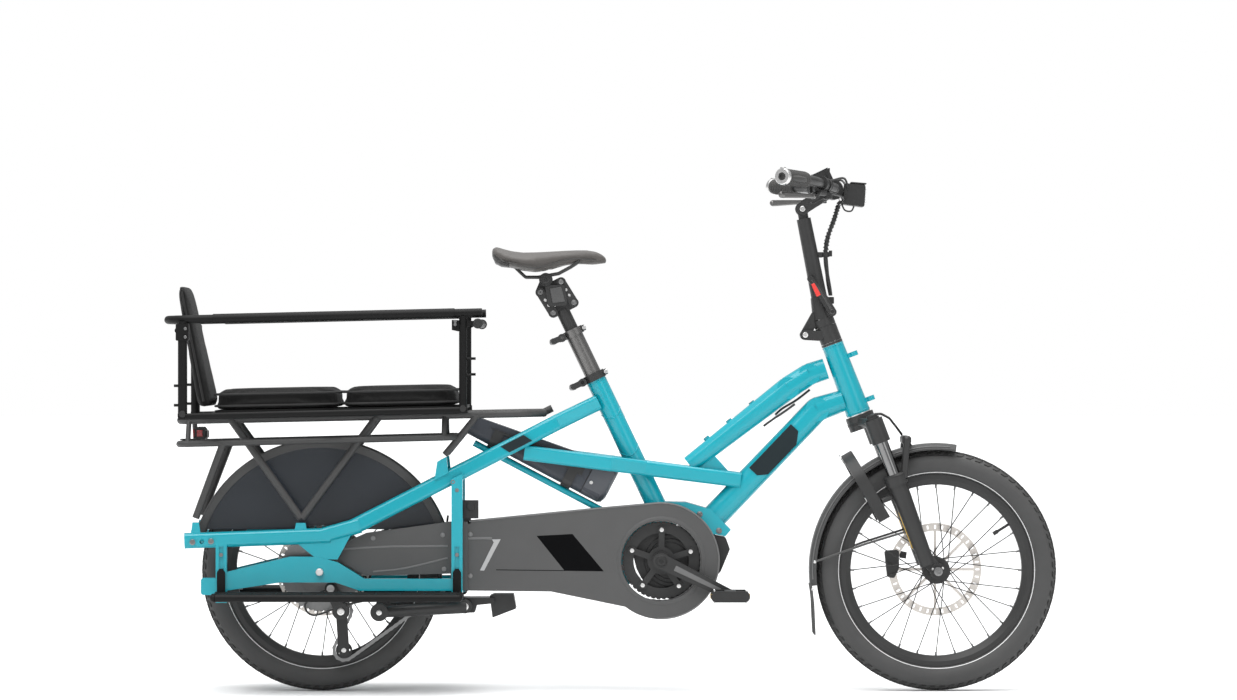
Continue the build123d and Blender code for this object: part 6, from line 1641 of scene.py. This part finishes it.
    def display(self) -> None:
        """The glass of the display and its buttons."""
        glass = Shape()
        start, end = side_point(434, 0, 1123.4), side_point(472, 0, 1141.8)
        run = (end - start).normalized()
        square = run.cross(LEFT).normalized()
        if square.z < 0:
            square = -square
        centre = (start + end) / 2 + square * 0.8 * MM
        glass.block(centre, run, LEFT, (0.037, 0.052, 0.0024))
        glass.piece("display_glass", SCREEN, "stem", "black_plastic", bevel=0.0008)
        keys = Shape()
        for number in range(4):
            keys.block(start + run * 2.0 * MM + square * 2.2 * MM + LEFT * (-18 + 12 * number) * MM, run, LEFT,
                       (0.0030, 0.008, 0.0012))
        keys.piece("display_keys", RIM_GREY, "stem", "black_plastic", bevel=0.0004)


# ------------------------------------------------------------------ fork, mudguards, lock and lights
@dataclass
class ForkDress:
    """Bright stanchions, seals, adjusters and lock trim."""

    leg_out: float = 22.0
    leg_side: float = 62.0

    def build(self, rig: Rig) -> None:
        """Makes the pieces of the fork and the ring lock."""
        axis = rig.axis("steering_turn")
        sleeves, seals, knobs = Shape(), Shape(), Shape()
        for side in (1, -1):
            leg = rig.steer(self.leg_out, side * self.leg_side, 0)
            sleeves.revolve(leg, axis, [(13.6 * MM, 150 * MM), (14.04 * MM, 150 * MM), (14.04 * MM, 304.9 * MM),
                                        (13.6 * MM, 304.9 * MM)], 64)
            seals.revolve(leg, axis, [(14.4 * MM, 224.6 * MM), (24.9 * MM, 224.6 * MM), (24.9 * MM, 227.0 * MM),
                                      (20.0 * MM, 230.5 * MM), (14.4 * MM, 231.0 * MM)], 48)
            knobs.disc(leg + axis * 363.0 * MM, axis, 12.0 * MM, 7.0 * MM, 1.6 * MM, 32)
        sleeves.piece("stanchion_sleeves", CHROME, "steering", "steel")
        seals.piece("fork_seals", TRIM_BLACK, "lowers", "rubber")
        knobs.piece("fork_caps", TRIM_BLACK, "steering", "black_plastic")
        crown = Shape()
        crown.revolve(rig.steer(0, 0, 0), axis, [(31.2 * MM, 358 * MM), (32.2 * MM, 359 * MM), (32.2 * MM, 364 * MM),
                                                (31.2 * MM, 365 * MM)], 72)
        crown.piece("crown_ring", TRIM_BLACK, "steering", "black_plastic")
        line = Shape()
        for side in (1, -1):
            path = [rig.steer(self.leg_out - 18.5, side * (self.leg_side + 3), 66 + 14 * n) for n in range(7)]
            line.tube(path, 1.2 * MM, 8)
        line.piece("fork_gold_line", GOLD, "lowers", "steel")
        lock = Shape()
        centre = rig.pivot("lock_close")
        shackle_axis = rig.axis("lock_close")
        lock.disc(centre + Vector((-0.4972, 0, 0.8676)) * 69 * MM + shackle_axis * -13.2 * MM, -shackle_axis, 12.0 * MM,
                  2.4 * MM, 1.0 * MM, 32)
        for side in (1, -1):
            lock.disc(centre + LEFT * side * 67 * MM - Vector((-0.4972, 0, 0.8676)) * 30 * MM
                      + shackle_axis * -13.2 * MM, -shackle_axis, 6.0 * MM, 1.6 * MM, 0.6 * MM)
        lock.piece("ring_lock_caps", STEEL, "lowers", "steel")
        hub_bolts = Shape()
        place = rig.pivot("front_wheel_spin")
        for side in (1, -1):
            for angle in (35, 155):
                out = Vector((math.cos(math.radians(angle)), 0, math.sin(math.radians(angle)))) * 12.5 * MM
                hub_bolts.socket_bolt(Vector((place.x, side * 73.8 * MM, place.z)) + out, LEFT * side, 2.6 * MM, 1.6 * MM)
        hub_bolts.piece("dropout_pinch_bolts", STEEL, "lowers", "steel")


@dataclass
class GuardDress:
    """Mudguard beads, mud flap ribs, lamp lenses, rail, foot board and stand details."""

    def build(self, rig: Rig) -> None:
        """Makes the pieces of the mudguards, the tail lamp, the rail, the foot boards and the stand."""
        self.guards(rig)
        self.tail_lamp()
        self.rail()
        self.foot_boards()
        self.stand(rig)

    def guards(self, rig: Rig) -> None:
        """Rolled edges of both mudguards, with a crease line, mud flap ribs and bolts at the front."""
        for joint, body, radius, half, start, arc, word in (
                ("rear_wheel_spin", "frame", 283.9, 36.6, 21, 144, "rear"),
                ("front_wheel_spin", "lowers", 266.5, 37.4, 81, 106, "front")):
            centre = rig.pivot(joint)
            beads = Shape()
            for side in (1, -1):
                path = []
                for step in range(61):
                    a = math.radians(start + arc * step / 60)
                    path.append(Vector((centre.x + radius * MM * math.cos(a), side * half * MM,
                                        centre.z + radius * MM * math.sin(a))))
                beads.tube(path, 1.5 * MM, 8)
            if word == "rear":
                path = []
                for step in range(61):
                    a = math.radians(start + arc * step / 60)
                    path.append(Vector((centre.x + 284.6 * MM * math.cos(a), 0, centre.z + 284.6 * MM * math.sin(a))))
                beads.tube(path, 3.0 * MM, 10, flat=0.5)
            beads.piece(word + "_guard_beads", FENDER_GREY, body, "black_plastic")
        stripe = Shape()
        centre = rig.pivot("front_wheel_spin")
        for side in (1, -1):
            path = [Vector((centre.x + 271 * MM * math.cos(math.radians(a)), side * 35.3 * MM,
                            centre.z + 271 * MM * math.sin(math.radians(a)))) for a in range(84, 185, 2)]
            stripe.tube(path, 1.4 * MM, 8)
        stripe.piece("front_guard_crease", RIM_GREY, "lowers", "black_plastic")
        flap = Shape()
        points = [side_point(434.5, 0, 234), side_point(438.5, 0, 205), side_point(440.5, 0, 165), side_point(442.6, 0, 126)]
        for y in (-26, -13, 0, 13, 26):
            flap.tube([p + LEFT * y * MM + Vector((-0.0042, 0, 0)) for p in smooth_path(points, 5)], 1.2 * MM, 8)
        flap.piece("mud_flap_ribs", FENDER_GREY, "lowers", "black_plastic")
        bolts = Shape()
        for side in (1, -1):
            bolts.disc(side_point(441, side * 37.2, 282), LEFT * side, 3.4 * MM, 3.0 * MM, 0.8 * MM, 12)
            bolts.disc(side_point(436, side * 36.0, 222), LEFT * side, 3.0 * MM, 2.4 * MM, 0.8 * MM, 12)
        bolts.piece("front_guard_bolts", STEEL, "lowers", "steel")

    def tail_lamp(self) -> None:
        """The ribbed lens and the two side lenses of the tail lamp."""
        lo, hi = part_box("tail_light")
        lens = Shape()
        lens.block(Vector((-0.9128, 0, 0.5625)), LEFT, UP, (0.056, 0.018, 0.0024))
        for number in range(7):
            lens.block(Vector((-0.9142, (-24 + 8 * number) * MM, 0.5625)), UP, LEFT, (0.016, 0.0012, 0.0014))
        lens.piece("tail_lamp_lens", RED_LENS, "frame", "tail_lens", bevel=0.0005)
        for side in (1, -1):
            glow = Shape()
            glow.block(Vector((-0.9000, side * 34.4 * MM, 0.5625)), Vector((1, 0, 0)), UP, (0.012, 0.014, 0.0016))
            glow.piece("tail_lamp_side_" + ("left" if side > 0 else "right"), RED_LENS, "frame", "tail_lens", bevel=0.0004)

    def rail(self) -> None:
        """End caps, clamps and the padded grip of the safety rail."""
        bolts, plates = Shape(), Shape()
        for side in (1, -1):
            for x, z in ((-919, 772), (-919, 790), (-338.5, 799), (-338.5, 806)):
                face = side * 177.4
                bolts.socket_bolt(side_point(x, face, z), LEFT * side, 3.4 * MM, 1.6 * MM)
            for x, z in ((-290, 801),):
                plates.disc(side_point(x, side * 164.8, z), LEFT * side, 11.0 * MM, 11.0 * MM, 2.0 * MM, 32)
            for x, z in ((-926, 606), (-322, 618)):
                plates.disc(side_point(x, side * 174.5, z), LEFT * side, 7.0 * MM, 2.2 * MM, 0.6 * MM, 28)
        bolts.piece("rail_bolt_heads", DARK_STEEL, "frame", "steel")
        plates.piece("rail_end_caps", TRIM_BLACK, "frame", "black_plastic")
        grip = Shape()
        for side in (1, -1):
            path = [side_point(x, side * 165, 825 + (x + 281) / 680 * 16) for x in range(-860, -330, 20)]
            grip.tube(path, 10.4 * MM, 20)
        grip.piece("rail_foam_grips", RAIL_BLACK, "frame", "rubber")

    def foot_boards(self) -> None:
        """Grip ribs on the foot boards."""
        ribs = Shape()
        for side in (1, -1):
            for column in range(10):
                x = -835 + column * 54
                ribs.tube([side_point(x, side * 128, 217.4), side_point(x, side * 208, 217.4)], 1.6 * MM, 8)
            for x in (-855, -330):
                for y in (120, 216):
                    ribs.disc(side_point(x, side * y, 219.6), UP, 5.0 * MM, 1.6 * MM, 0.6 * MM)
        ribs.piece("foot_board_ribs", RAIL_BLACK, "frame", "black_metal")

    def stand(self, rig: Rig) -> None:
        """The stand's foot pads, pivot bolts and bracket bolts."""
        pivot = rig.pivot("stand_swing")
        feet, bolts = Shape(), Shape()
        for side in (1, -1):
            foot = side_point(-505, side * 104, 176)
            feet.revolve(foot, LEFT, [(18.3 * MM, -12 * MM), (19.4 * MM, -10 * MM), (19.4 * MM, 10 * MM),
                                      (18.3 * MM, 12 * MM)], 40)
            bolts.socket_bolt(foot + LEFT * side * 17 * MM, LEFT * side, 6.0 * MM, 2.0 * MM)
            bolts.socket_bolt(Vector((pivot.x, side * 64 * MM, pivot.z)), LEFT * side, 8.0 * MM, 2.6 * MM)
        feet.piece("stand_feet", RUBBER, "stand", "rubber")
        bolts.piece("stand_bolts", STEEL, "stand", "steel")
        plate = Shape()
        for x, z in ((-330, 178), (-312, 186), (-345, 194)):
            plate.socket_bolt(side_point(x, -40.0, z), -LEFT, 4.0 * MM, 2.2 * MM)
        plate.piece("stand_bracket_bolts", STEEL, "frame", "steel")


def main() -> None:
    """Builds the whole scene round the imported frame."""
    logging.basicConfig(level=logging.INFO, format="%(name)s: %(message)s")
    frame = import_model()
    rig = Rig({joint["name"]: joint for joint in frame["joints"]})
    Studio().build()
    paint_nodes(frame["nodes"])
    Tyre("front_tyre", "front_wheel", "front_wheel_spin").build(rig)
    Tyre("rear_tyre", "rear_wheel", "rear_wheel_spin").build(rig)
    HubDress().build(rig)
    ChainDrive().build(rig)
    FrameDress().build(rig)
    Bench().build(frame["nodes"])
    Saddle().build()
    SeatDress().build(rig)
    Cockpit().build(rig)
    ForkDress().build(rig)
    GuardDress().build(rig)


if __name__ == "__main__":
    main()
